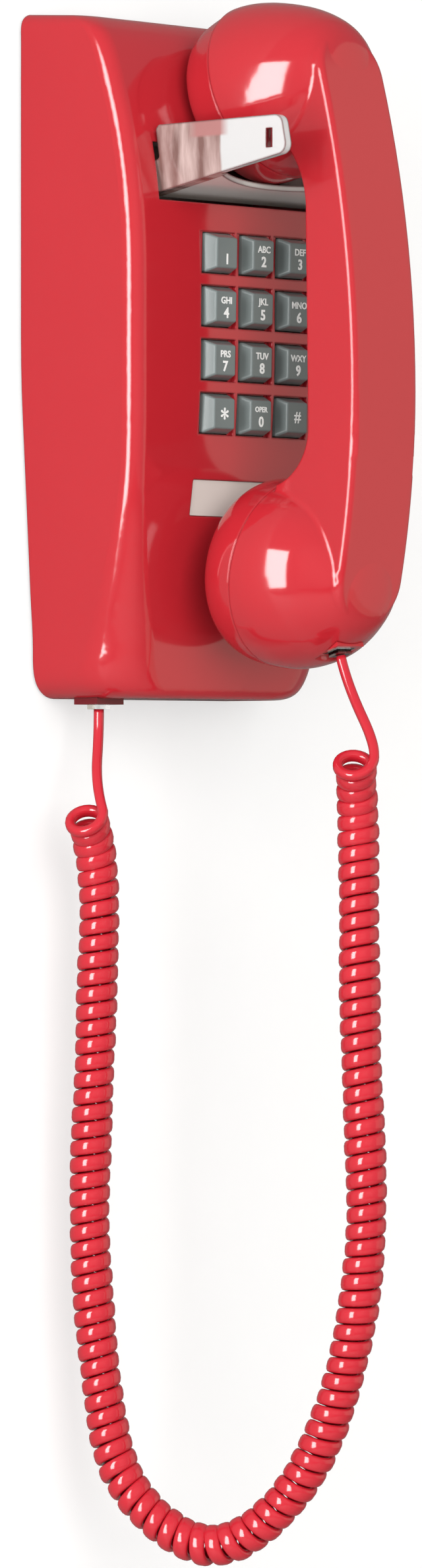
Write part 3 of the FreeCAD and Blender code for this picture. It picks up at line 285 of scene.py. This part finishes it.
feed(moulded_skin, noise(moulded_skin, place, given["Peel"], 1.0), result["Height"])


def surfaced(name, group, depth, **values):
    """A material whose colour, gloss and fine relief come from a group; the group's node is "skin"."""
    material, tree, shader = new_material(name)
    skin = add(tree, "ShaderNodeGroup", node_tree=group, name="skin", **values)
    relief = add(tree, "ShaderNodeBump", name="relief", Strength=1.0, Distance=depth)
    feed(tree, skin.outputs["Colour"], shader.inputs["Base Color"])
    feed(tree, skin.outputs["Roughness"], shader.inputs["Roughness"])
    feed(tree, skin.outputs["Height"], relief.inputs["Height"])
    feed(tree, relief.outputs["Normal"], shader.inputs["Normal"])
    return material, tree, shader


def moulded(
    name, colour, cloud=0.1, roughness=0.3, uneven=0.1, peel=200.0, depth=0.00004, rounding=0.0, **plain
):
    """A moulded plastic: the skin, edges softened by a rounding, and the shader's plain values."""
    material, tree, shader = surfaced(
        name, moulded_skin, depth,
        Colour=(*colour, 1), Cloud=cloud, Roughness=roughness, Uneven=uneven, Peel=peel,
    )
    if rounding:
        soft_edge = add(tree, "ShaderNodeBevel", samples=4, Radius=rounding)
        feed(tree, soft_edge.outputs["Normal"], tree.nodes["relief"].inputs["Normal"])
    for label, value in plain.items():
        shader.inputs[label.replace("_", " ")].default_value = value
    return material


def dress(material, *names):
    """Gives CAD nodes their finish."""
    for name in names:
        nodes[name].data.materials.clear()
        nodes[name].data.materials.append(material)


# --------------------------------------------------------------- metal pieces
# Pressed steel plate, bracket, ringer frame and turned pins, zinc plated, and
# two brass gongs: rolled or turned metal with a fine grain and dull patches.
GRAIN_SCALE = (60.0, 60.0, 1400.0)
metal_grain, given, result = new_group(
    "metal_grain",
    [
        ("Colour", COLOUR, (0.6, 0.6, 0.6, 1)),
        ("Roughness", FLOAT, 0.3),
        ("Dull", FLOAT, 0.3),
    ],
    SURFACE,
)
place = own_place(metal_grain)
stretch = add(metal_grain, "ShaderNodeMapping", Scale=GRAIN_SCALE)
feed(metal_grain, place, stretch.inputs["Vector"])
patch = noise(metal_grain, place, 45.0, 5.0)
shade = maths(metal_grain, "MULTIPLY_ADD", patch, 0.5, 0.75)
gloss = (patch, given["Dull"], given["Roughness"])
feed(metal_grain, shaded(metal_grain, given["Colour"], shade), result["Colour"])
feed(metal_grain, maths(metal_grain, "MULTIPLY_ADD", *gloss, clamp=True), result["Roughness"])
feed(metal_grain, noise(metal_grain, stretch.outputs["Vector"], 1.0, 3.0), result["Height"])


def metal(name, colour, roughness, dull, depth):
    """A metal: the grain on a fully metallic shader."""
    values = {"Colour": (*colour, 1), "Roughness": roughness, "Dull": dull}
    material, _, shader = surfaced(name, metal_grain, depth, **values)
    shader.inputs["Metallic"].default_value = 1.0
    return material


zinc_plate = metal("zinc_plate", (0.62, 0.61, 0.57), roughness=0.28, dull=0.25, depth=0.00002)
bright_steel = metal("bright_steel", (0.72, 0.72, 0.72), roughness=0.12, dull=0.20, depth=0.00001)
bell_brass = metal("bell_brass", (0.80, 0.60, 0.28), roughness=0.14, dull=0.22, depth=0.00001)
dress(zinc_plate, "base_plate", "hook_bracket", "ringer_frame")
dress(bright_steel, "hook_pin", "housing_screws", "hook_spring", "volume_shaft", "clapper")
dress(bell_brass, "gong_left", "gong_right")


# --------------------------------------------------------- inside the housing
# Moulded switch, network block, key guide and loudness wheel; a rubber key mat;
# boards of resin and paper; a coil of enamelled wire; aluminium sound units.
grey_moulding = moulded(
    "grey_moulding", (0.46, 0.46, 0.44), cloud=0.12, roughness=0.35, uneven=0.12, peel=260.0,
)
black_moulding = moulded(
    "black_moulding", (0.025, 0.025, 0.027), cloud=0.25, roughness=0.38, uneven=0.15, peel=300.0,
)
contact_rubber = moulded(
    "contact_rubber", (0.19, 0.18, 0.17), cloud=0.2, roughness=0.68, uneven=0.12, peel=500.0,
)
spun_aluminium = metal("spun_aluminium", (0.77, 0.78, 0.79), roughness=0.22, dull=0.25, depth=0.00002)
dress(grey_moulding, "hook_switch", "network_block", "keypad_frame", "transmitter_cup")
dress(black_moulding, "volume_wheel")
dress(contact_rubber, "key_mat")
dress(spun_aluminium, "receiver_capsule", "transmitter_capsule")

brown_board, tree, shader = new_material("brown_board")
weave = add(tree, "ShaderNodeTexWave", Scale=380.0, Distortion=1.2, Detail=1.0)
resin = mixed(tree, weave.outputs["Fac"], (0.33, 0.21, 0.08), (0.42, 0.29, 0.12))
feed(tree, own_place(tree), weave.inputs["Vector"])
feed(tree, resin, shader.inputs["Base Color"])
shader.inputs["Roughness"].default_value = 0.45
dress(brown_board, "keypad_board", "network_board")

copper_winding, tree, shader = new_material("copper_winding")
turns = add(tree, "ShaderNodeTexWave", bands_direction="X", Scale=700.0, Distortion=0.4)
enamel = mixed(tree, turns.outputs["Fac"], (0.22, 0.06, 0.02), (0.62, 0.24, 0.09))
ridge = add(tree, "ShaderNodeBump", Strength=0.8, Distance=0.0001)
feed(tree, own_place(tree), turns.inputs["Vector"])
feed(tree, turns.outputs["Fac"], ridge.inputs["Height"])
feed(tree, enamel, shader.inputs["Base Color"])
feed(tree, ridge.outputs["Normal"], shader.inputs["Normal"])
shader.inputs["Roughness"].default_value = 0.32
shader.inputs["Metallic"].default_value = 0.6
dress(copper_winding, "ringer_coil")


# ----------------------------------------------- housing, handle and its caps
# Injection-moulded red ABS with a polished, slightly wavy skin that mirrors
# the room: one open-backed housing, one handle, two screwed-on caps. The light
# that it throws on matt surfaces is greyer, so the white wall stays white.
SHELL_RED = (0.495, 0.018, 0.027)
THROWN_RED = (0.22, 0.15, 0.15)
red_shell = moulded(
    "red_shell", SHELL_RED, cloud=0.07, roughness=0.09, uneven=0.06, peel=90.0,
    depth=0.00002, rounding=0.0009, IOR=1.54, Specular_IOR_Level=1.0,
)
tree = red_shell.node_tree
diffuse_ray = add(tree, "ShaderNodeLightPath").outputs["Is Diffuse Ray"]
thrown = mixed(tree, diffuse_ray, tree.nodes["skin"].outputs["Colour"], THROWN_RED)
feed(tree, thrown, tree.nodes["Principled BSDF"].inputs["Base Color"])
dress(red_shell, "housing_shell", "handset_handle", "receiver_cap", "transmitter_cap")


# --------------------------------------------------------------- push buttons
# Twelve moulded grey keys, two-shot with white figures that stand a hair proud
# of the top; letters above the digit, in the usual telephone order.
KEY_OUT = np.array([0.0, -0.99972, -0.02356])
KEY_UP = np.array([0.0, -0.02356, 0.99972])
TOP_WITHIN = 0.00005
FIGURE_DEEP = 0.00012
# height, thickening and lift above the key's middle, for a digit, two signs and three or four letters
DIGIT = (0.0049, 0.00014, -0.0021)
SIGNS = {"*": (0.0088, 0.00012, 0.0), "#": (0.0054, 0.00008, 0.0)}
LETTERS = {3: (0.0032, 0.00008, 0.0021), 4: (0.0025, 0.00008, 0.0021)}
KEYS = [
    ("1", "1", ""), ("2", "2", "ABC"), ("3", "3", "DEF"),
    ("4", "4", "GHI"), ("5", "5", "JKL"), ("6", "6", "MNO"),
    ("7", "7", "PRS"), ("8", "8", "TUV"), ("9", "9", "WXY"),
    ("star", "*", ""), ("0", "0", "OPER"), ("pound", "#", ""),
]
grey_key = moulded(
    "grey_key", (0.172, 0.200, 0.197), cloud=0.12, roughness=0.20, uneven=0.14, peel=420.0,
    rounding=0.0005,
)
white_figure = moulded(
    "white_figure", (0.90, 0.90, 0.89), cloud=0.03, roughness=0.35, uneven=0.1, peel=600.0,
)


def points_of(mesh):
    """A mesh's points as an array."""
    flat = np.empty(len(mesh.vertices) * 3)
    mesh.vertices.foreach_get("co", flat)
    return flat.reshape(-1, 3)


def figures(name, words, tall, bold, lift, face, body):
    """Words as a thin mesh on a key's top: centred on the key, lifted up it, and facing out."""
    curve = bpy.data.curves.new(name, "FONT")
    curve.body, curve.size = words, tall
    curve.align_x, curve.align_y = "CENTER", "CENTER"
    curve.extrude, curve.offset = FIGURE_DEEP, bold
    curve.resolution_u = 3
    text = bpy.data.objects.new(name + "_text", curve)
    mesh = bpy.data.meshes.new_from_object(text)
    bpy.data.objects.remove(text)
    right, up, out = points_of(mesh).T
    right = right - (right.min() + right.max()) / 2
    up = up + (lift - (up.min() + up.max()) / 2)
    placed = face + np.outer(right, [1, 0, 0]) + np.outer(up, KEY_UP) + np.outer(out, KEY_OUT)
    mesh.vertices.foreach_set("co", placed.ravel())
    mesh.update()
    piece = bpy.data.objects.new(name, mesh)
    scene.collection.objects.link(piece)
    piece.data.materials.clear()
    piece.data.materials.append(white_figure)
    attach(piece, body)


key_middles = []
for key, figure, letters in KEYS:
    dress(grey_key, "key_" + key)
    spots = points_of(nodes["key_" + key].data)
    out = spots @ KEY_OUT
    top = spots[out > out.max() - TOP_WITHIN]
    middle = (top.min(0) + top.max(0)) / 2
    key_middles.append(middle)
    figures("figure_" + key, figure, *SIGNS.get(figure, DIGIT), middle, "button_" + key)
    if letters:
        figures("letters_" + key, letters, *LETTERS[len(letters)], middle, "button_" + key)


# ------------------------------------------------------------ key pocket rims
# Round each key the shell's pocket has a narrow red ledge, moulded in one with
# it, that closes the view past the key and leaves it a hair's room.
LEDGE_BELOW_TOP = 0.0053
LEDGE_THICK = 0.0006
POCKET_HALF = np.array([0.0085, 0.0073])
KEY_HOLE_HALF = np.array([0.0069, 0.0070])
CORNERS = np.array([[-1, -1], [1, -1], [1, 1], [-1, 1]], float)
# ledge: at each corner a four-point section (outer front, inner front, inner back, outer back)
half = np.stack([POCKET_HALF, KEY_HOLE_HALF, KEY_HOLE_HALF, POCKET_HALF])
below = LEDGE_BELOW_TOP + np.array([0.0, 0.0, LEDGE_THICK, LEDGE_THICK])
flat = CORNERS[:, None, :] * half[None, :, :]
ledge = flat[..., :1] * np.array([1.0, 0.0, 0.0]) + flat[..., 1:] * KEY_UP
ledge = ledge - below[None, :, None] * KEY_OUT
ledges = np.array(key_middles)[:, None, None, :] + ledge[None]
ledge_faces = grid_faces(4, 4, close_rows=True, close_columns=True)[:, ::-1]
first_point = np.arange(len(KEYS)) * ledge[..., 0].size
all_faces = (first_point[:, None, None] + ledge_faces[None]).reshape(-1, 4)
pocket_rims = new_mesh("pocket_rims", ledges, all_faces, smooth=False)
pocket_rims.data.materials.append(red_shell)
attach(pocket_rims, "base")


# ------------------------------------------------------ number window and card
# A flat clear window, tinted a little by age, snapped over a slip of pale card
# that is bare of any number.
window_clear = moulded(
    "window_clear", (0.90, 0.79, 0.74), cloud=0.04, roughness=0.06, uneven=0.05, peel=70.0,
    depth=0.00002, Alpha=0.75,
)
pale_card = moulded(
    "pale_card", (0.80, 0.70, 0.65), cloud=0.06, roughness=0.7, uneven=0.1, peel=900.0,
)
dress(window_clear, "number_window")
dress(pale_card, "number_card")


# ----------------------------------------------------------------- hook lever
# The cradle, moulded in clear acrylic on a steel pin inside the housing: two
# wings that spread towards the housing, and a floor hollowed out for the cup.
# Its colours are painted: a streaky reddish grey near its root for the red seen
# through it and for its reflections, and a white glare, a painted reflection, over its outer half.
MERGE_WITHIN = 0.000002
SPREAD = 0.0038
SPREAD_FROM, SPREAD_FULL, SPREAD_END = 0.040, 0.047, 0.107
WING_FROM, WING_RAMP = 0.030, 0.007
HOLLOW_MIDDLE, HOLLOW_SIDE, HOLLOW_HALF = 0.064, 0.0755, 0.0375
HOLLOW_OUT, HOLLOW_LOW, HOLLOW_HIGH = 0.0900, 0.045, 0.0645
HOLLOW_POINTS = 33
lever_mesh = nodes["hook_lever"].data.copy()
lever = bmesh.new()
lever.from_mesh(lever_mesh)
bmesh.ops.remove_doubles(lever, verts=lever.verts, dist=MERGE_WITHIN)
lever.to_mesh(lever_mesh)
lever.free()
# spread: sideways from the middle, full where the wing leaves the housing and none at its tip
spots = points_of(lever_mesh)
stand_off = -spots[:, 1]
rise = np.clip((stand_off - SPREAD_FROM) / (SPREAD_FULL - SPREAD_FROM), 0, 1)
fall = np.clip((SPREAD_END - stand_off) / (SPREAD_END - SPREAD_FULL), 0, 1)
aside = np.clip((np.abs(spots[:, 0]) - WING_FROM) / WING_RAMP, 0, 1)
spots[:, 0] += np.sign(spots[:, 0]) * SPREAD * rise * fall * aside
lever_mesh.vertices.foreach_set("co", spots.ravel())
lever_mesh.update()
cradle_hook = bpy.data.objects.new("cradle_hook", lever_mesh)
scene.collection.objects.link(cradle_hook)
# hollow: a block whose near side is a parabola, deepest at the floor's middle
hollow_x = np.linspace(-HOLLOW_HALF, HOLLOW_HALF, HOLLOW_POINTS)
hollow_near = HOLLOW_MIDDLE + (HOLLOW_SIDE - HOLLOW_MIDDLE) * (hollow_x / HOLLOW_HALF) ** 2
near_row = np.stack([hollow_x, -hollow_near], 1)
far_row = np.stack([hollow_x, np.full(HOLLOW_POINTS, -HOLLOW_OUT)], 1)
plan = np.stack([near_row, far_row, far_row, near_row])
level = np.array([HOLLOW_HIGH, HOLLOW_HIGH, HOLLOW_LOW, HOLLOW_LOW])[:, None, None]
hollow_points = np.concatenate([plan, np.broadcast_to(level, (4, HOLLOW_POINTS, 1))], -1)
ends = np.array([[0, 1, 2, 3], [3, 2, 1, 0]]) * HOLLOW_POINTS + np.array([[0], [HOLLOW_POINTS - 1]])
hollow_sides = grid_faces(4, HOLLOW_POINTS, close_rows=True)
hollow = new_mesh("hollow", hollow_points, hollow_sides, ends, smooth=False)
block = bmesh.new()
block.from_mesh(hollow.data)
bmesh.ops.recalc_face_normals(block, faces=block.faces)
block.to_mesh(hollow.data)
block.free()
cut = cradle_hook.modifiers.new("hollow", "BOOLEAN")
cut.operation, cut.object, cut.solver = "DIFFERENCE", hollow, "EXACT"
bpy.context.view_layer.update()
cut_hook = cradle_hook.evaluated_get(bpy.context.evaluated_depsgraph_get())
hollowed = bpy.data.meshes.new_from_object(cut_hook)
cradle_hook.modifiers.clear()
cradle_hook.data = hollowed
bpy.data.objects.remove(hollow)
hollowed.polygons.foreach_set("use_smooth", [True] * len(hollowed.polygons))
hollowed.set_sharp_from_angle(angle=math.radians(30))

STREAK_SCALE = (20.0, 190.0, 40.0)
STREAK_LEAN = (math.radians(18.0), 0.0, 0.0)
# painted: streaky reddish greys for the red seen through the wing and for its streaky reflections
SEEN_THROUGH_DARK, SEEN_THROUGH_PALE = (0.25, 0.13, 0.115), (0.68, 0.49, 0.46)
# painted reflection: beyond the first of these depths the wing turns white, for the glare it mirrors
GLARE_FROM, GLARE_TO, GLARE_WHITE = -0.0788, -0.0798, (0.73, 0.72, 0.72)
# each patch: from, to and the width of its soft ends, along the axes that it names
# painted: the red of the cup seen through the wing's upper edge
RED_BEHIND_Y, RED_BEHIND_Z, RED_BEHIND = (-0.0790, -0.0690, 0.004), (0.0720, 0.0900, 0.001), (0.50, 0.22, 0.21)
# painted shade: dark red where the shaded slot behind the wing is seen through
SLOT_Y, SLOT_Z, SLOT_SHADE_RED = (-0.1018, -0.0991, 0.0002), (0.0662, 0.0726, 0.0002), (0.16, 0.008, 0.012)
# painted light: the hollowed floor is made pale, as if lit from below
FLOOR_X, FLOOR_LIT_PALE = (-0.0370, 0.0370, 0.0005), (0.93, 0.88, 0.85)
# painted shade: dark red lines along the wing's edges
RIM_RADIUS, RIM_SHADE_RED = 0.0012, (0.20, 0.07, 0.07)
RIM_FROM, RIM_TO = 0.995, 0.90


def band(tree, value, low, high, soft):
    """A mask that is one where the value lies from low to high, with soft ends."""
    up, down = ramp(tree, value, low - soft, low), ramp(tree, value, high + soft, high)
    return maths(tree, "MULTIPLY", up, down)


hook_clear = moulded(
    "hook_clear", (0.80, 0.80, 0.80), cloud=0.04, roughness=0.10, uneven=0.06, peel=70.0,
    depth=0.00002, rounding=0.0006, Transmission_Weight=0.2, IOR=1.49, Specular_IOR_Level=0.8,
)
tree = hook_clear.node_tree
spot = own_place(tree)
slant = add(tree, "ShaderNodeMapping", Scale=STREAK_SCALE, Rotation=STREAK_LEAN)
feed(tree, spot, slant.inputs["Vector"])
axes = add(tree, "ShaderNodeSeparateXYZ")
feed(tree, spot, axes.inputs[0])
along_x, along_y, along_z = axes.outputs
streak = ramp(tree, noise(tree, slant.outputs["Vector"], 1.0, 4.0), 0.34, 0.66)
# painted reflection: a white glare over the wing's outer half
painted_glare = ramp(tree, along_y, GLARE_FROM, GLARE_TO)
# painted: the cup's red seen through the wing's upper edge, a darker painted shade where the slot is
# seen through, and dark painted lines at its rims
red_behind = maths(tree, "MULTIPLY", band(tree, along_y, *RED_BEHIND_Y), band(tree, along_z, *RED_BEHIND_Z))
slot = maths(tree, "MULTIPLY", band(tree, along_y, *SLOT_Y), band(tree, along_z, *SLOT_Z))
# rim: a painted dark red line where a rounded edge would turn away from the flat side
round_edge = add(tree, "ShaderNodeBevel", samples=6, Radius=RIM_RADIUS)
flat_side = add(tree, "ShaderNodeNewGeometry")
same_way = add(tree, "ShaderNodeVectorMath", operation="DOT_PRODUCT")
feed(tree, round_edge.outputs["Normal"], same_way.inputs[0])
feed(tree, flat_side.outputs["Normal"], same_way.inputs[1])
rim = ramp(tree, same_way.outputs["Value"], RIM_FROM, RIM_TO)
# painted see-through colour and reflections: the streaky reddish grey
colour = mixed(tree, streak, SEEN_THROUGH_DARK, SEEN_THROUGH_PALE)
colour = mixed(tree, painted_glare, colour, GLARE_WHITE)
colour = mixed(tree, red_behind, colour, RED_BEHIND)
# painted light: the pale floor
colour = mixed(tree, band(tree, along_x, *FLOOR_X), colour, FLOOR_LIT_PALE)
colour = mixed(tree, rim, colour, RIM_SHADE_RED)
colour = mixed(tree, slot, colour, SLOT_SHADE_RED)
feed(tree, colour, tree.nodes["skin"].inputs["Colour"])
hollowed.materials.clear()
hollowed.materials.append(hook_clear)
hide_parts("hook_lever")
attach(cradle_hook, "hook")


# ----------------------------------------------------- sockets and their plugs
# Modular sockets, black inside and red where they lie flush with the housing and
# the handle, the base one's red darkened as painted shade; clear plugs in them
# and one more behind the wall plate.
BASE_EXIT = np.array([-0.0385, -0.018, -0.1211])
BASE_WAY = np.array([0.0, 0.0, -1.0])
SOCKET_WAY = np.array([0.0, -0.292, -0.956])
HANDSET_EXIT = np.array([0.0, -0.0944, -0.1016]) + SOCKET_WAY * 0.0019
# painted shade: the base socket's red is darkened for the shade under the housing
BASE_SHADE_RED = (0.14, 0.010, 0.014)
SOCKET_BLACK = (0.02, 0.02, 0.02)
MOUTH_HALF_WIDE, BASE_HALF_DEEP, HANDSET_HALF_DEEP = 0.0046, 0.0042, 0.0036
MOUTH_SOFT = 0.0002


def socket_face(name, red, middle, way, half_deep):
    """Black moulding in the mouth, a box about the middle along the way out, and red round it."""
    material = moulded(name, red, cloud=0.07, roughness=0.12, uneven=0.06, peel=90.0, depth=0.00002)
    tree = material.node_tree
    from_middle = add(tree, "ShaderNodeVectorMath", operation="SUBTRACT")
    feed(tree, own_place(tree), from_middle.inputs[0])
    from_middle.inputs[1].default_value = middle
    masks = []
    for direction, half in (((1.0, 0.0, 0.0), MOUTH_HALF_WIDE), ((0.0, -way[2], way[1]), half_deep)):
        offset = add(tree, "ShaderNodeVectorMath", operation="DOT_PRODUCT")
        feed(tree, from_middle.outputs["Vector"], offset.inputs[0])
        offset.inputs[1].default_value = direction
        masks.append(band(tree, offset.outputs["Value"], -half, half, MOUTH_SOFT))
    mouth = maths(tree, "MULTIPLY", *masks)
    feed(tree, mixed(tree, mouth, red, SOCKET_BLACK), tree.nodes["skin"].inputs["Colour"])
    return material


base_socket = socket_face("base_socket", BASE_SHADE_RED, BASE_EXIT, BASE_WAY, BASE_HALF_DEEP)
handset_socket = socket_face("handset_socket", SHELL_RED, HANDSET_EXIT, SOCKET_WAY, HANDSET_HALF_DEEP)
plug_clear = moulded(
    "plug_clear", (0.95, 0.95, 0.93), cloud=0.04, roughness=0.08, uneven=0.08, peel=70.0,
    depth=0.00002, Transmission_Weight=1.0, IOR=1.49,
)
dress(base_socket, "base_jack")
dress(handset_socket, "handset_jack")
dress(plug_clear, "base_plug", "handset_plug", "line_plug")


# ----------------------------------------------------------------------- cord
# Four-way tinsel cord in a satin red jacket, a flat section wound tight on a
# mandrel and heat set; it hangs in one loop from plug to plug.
CORD_WIDE, CORD_THICK, LEAD_WIDE = 0.0053, 0.0034, 0.0033
SECTION_POINTS, SECTION_POWER = 14, 0.75
COIL_RADIUS, RING_RADIUS = 0.0053, 0.0062
CURLS, OPEN_TURNS, START_TURN = 97.5, 1.5, -0.5
RINGS_A_CURL = 26
ROUTE_STEPS, SMOOTHINGS = 24, 40
LEAD, PLUG_DROP = 0.0100, 0.008
BASE_LEAD_POINTS, HANDSET_LEAD_POINTS = 28, 30
LOOP_RIGHT = np.array([0.4685, -0.8834, 0.0])
LOOP_FRONT = np.array([-0.8834, -0.4685, 0.0])
LOOP_START = np.array([-0.0401, -0.018, 0.0])
# the coil's middle line in millimetres: to the right and to the front of LOOP_START, and its height
LOOP = [
    (1.2, 16.5, -157), (1.2, 11.5, -161), (1.5, 7, -166.5), (2.0, 4.8, -175), (2.5, 4, -184),
    (2.6, 4, -195), (1.8, 4, -212), (1.1, 4, -238), (-0.4, 4, -268), (-1.2, 4, -296),
    (0.4, 4, -325), (3, 4, -350), (7.5, 4, -378), (17, 4, -393), (30, 4, -403.1),
    (42, 4, -406.8), (54, 4, -403.1), (66, 4, -393), (76, 4, -380), (84, 4, -363),
    (90.5, 4, -342), (95, 4, -318), (97, 4, -292), (96, 4, -264), (94.6, 4, -235),
    (94, 3.2, -208), (93.4, 1.4, -184), (93, 0.4, -167), (93, 1.6, -156), (93.5, 5, -148.5),
    (94.3, 9.4, -143), (95.3, 14.2, -138.5),
]


def unit(vectors):
    """Vectors of length one."""
    return vectors / np.linalg.norm(vectors, axis=-1, keepdims=True)


def spline_points(name, route):
    """Points read from a smooth NURBS spline with the route as its control points."""
    curve = bpy.data.curves.new(name, "CURVE")
    curve.dimensions = "3D"
    spline = curve.splines.new("NURBS")
    spline.points.add(len(route) - 1)
    spline.points.foreach_set("co", np.c_[route, np.ones(len(route))].ravel())
    spline.order_u = 3
    spline.use_endpoint_u = True
    spline.resolution_u = ROUTE_STEPS
    holder = bpy.data.objects.new(name, curve)
    line = points_of(bpy.data.meshes.new_from_object(holder))
    bpy.data.objects.remove(holder)
    return line


def evenly(line, count):
    """The same line as count points at equal steps along its length."""
    along = np.concatenate([[0], np.cumsum(np.linalg.norm(np.diff(line, axis=0), axis=1))])
    wanted = np.linspace(0, along[-1], count)
    return np.stack([np.interp(wanted, along, line[:, k]) for k in range(3)], 1)


def smoothed(line, times):
    """Averages each inner point with its neighbours, so that directions run smoothly."""
    for _ in range(times):
        line[1:-1] = 0.25 * line[:-2] + 0.5 * line[1:-1] + 0.25 * line[2:]
    return line


def rounded(wave):
    """Half of a cosine or sine, its size raised to SECTION_POWER: an oval drawn towards an oblong."""
    return np.sign(wave) * np.abs(wave) ** SECTION_POWER / 2


loop = np.array(LOOP, float) / 1000.0
route = LOOP_START + np.outer(loop[:, 0], LOOP_RIGHT) + np.outer(loop[:, 1], LOOP_FRONT)
route[:, 2] = loop[:, 2]
rings = int(CURLS * RINGS_A_CURL) + 1
axis = smoothed(evenly(spline_points("cord_axis", route), rings), SMOOTHINGS)
axis_way = unit(np.gradient(axis, axis=0))
across = unit(np.cross(LOOP_FRONT, axis_way))
outward = np.cross(axis_way, across)
turn = np.linspace(START_TURN, 2 * math.pi * CURLS, rings)[:, None]
# settled: nought at the coil's ends, where a turn opens into a ring, and one from OPEN_TURNS in
settled = np.minimum(turn - turn[0], turn[-1] - turn) / (2 * math.pi * OPEN_TURNS)
settled = np.clip(settled, 0, 1)
settled = settled**2 * (3 - 2 * settled)
# helix: round the axis at a radius that swells and shrinks by a few hundredths along the coil
swell = COIL_RADIUS * (1 + 0.03 * np.sin(turn / 9.0) + 0.02 * np.sin(turn / 2.3 + 1.0))
swell = RING_RADIUS + (swell - RING_RADIUS) * settled
helix = axis + swell * (np.cos(turn) * across + np.sin(turn) * outward)
# leads: each leaves its plug straight and runs into the helix along the helix's own direction
first_way, last_way = unit(helix[1] - helix[0]), unit(helix[-1] - helix[-2])
base_route = np.array([
    BASE_EXIT, BASE_EXIT + BASE_WAY * PLUG_DROP, helix[0] - first_way * LEAD, helix[0],
])
handset_route = np.array([
    helix[-1], helix[-1] + last_way * LEAD / 2, HANDSET_EXIT + SOCKET_WAY * LEAD, HANDSET_EXIT,
])
base_lead = evenly(spline_points("cord_base_end", base_route), BASE_LEAD_POINTS)[:-1]
handset_lead = evenly(spline_points("cord_handset_end", handset_route), HANDSET_LEAD_POINTS)[1:]
line = np.concatenate([base_lead, helix, handset_lead])
count = len(line)
way = unit(np.gradient(line, axis=0))
added = [(len(base_lead), len(handset_lead)), (0, 0)]
flat_way = np.pad(axis_way, added, mode="edge")
flat_way = unit(flat_way - way * np.sum(flat_way * way, 1, keepdims=True))
thick_way = np.cross(way, flat_way)
wide = LEAD_WIDE + (CORD_WIDE - LEAD_WIDE) * np.pad(settled, added, mode="edge")
# tube: ring k is the rounded-oblong section laid across the line at its k-th point
angle = np.linspace(0, 2 * math.pi, SECTION_POINTS, endpoint=False)[None, :, None]
tube = line[:, None, :] + wide[:, None, :] * rounded(np.cos(angle)) * flat_way[:, None, :]
tube = tube + CORD_THICK * rounded(np.sin(angle)) * thick_way[:, None, :]
# caps: a fan from the middle of each end's ring
ring = np.arange(SECTION_POINTS)
next_on = (ring + 1) % SECTION_POINTS
last_ring, first_middle = (count - 1) * SECTION_POINTS, count * SECTION_POINTS
start_cap = np.stack([ring, np.full_like(ring, first_middle), next_on], 1)
end_cap = np.stack([last_ring + next_on, np.full_like(ring, first_middle + 1), last_ring + ring], 1)
handset_cord = new_mesh(
    "handset_cord", np.concatenate([tube.reshape(-1, 3), line[:1], line[-1:]]),
    grid_faces(count, SECTION_POINTS, close_columns=True), start_cap, end_cap,
)
red_cord = moulded(
    "red_cord", (0.56, 0.016, 0.030), cloud=0.14, roughness=0.13, uneven=0.05, peel=500.0,
    depth=0.00001, IOR=1.54, Specular_IOR_Level=1.0,
)
handset_cord.data.materials.append(red_cord)
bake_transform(handset_cord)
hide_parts("cord_base_tail", "cord_coil", "cord_handset_tail")
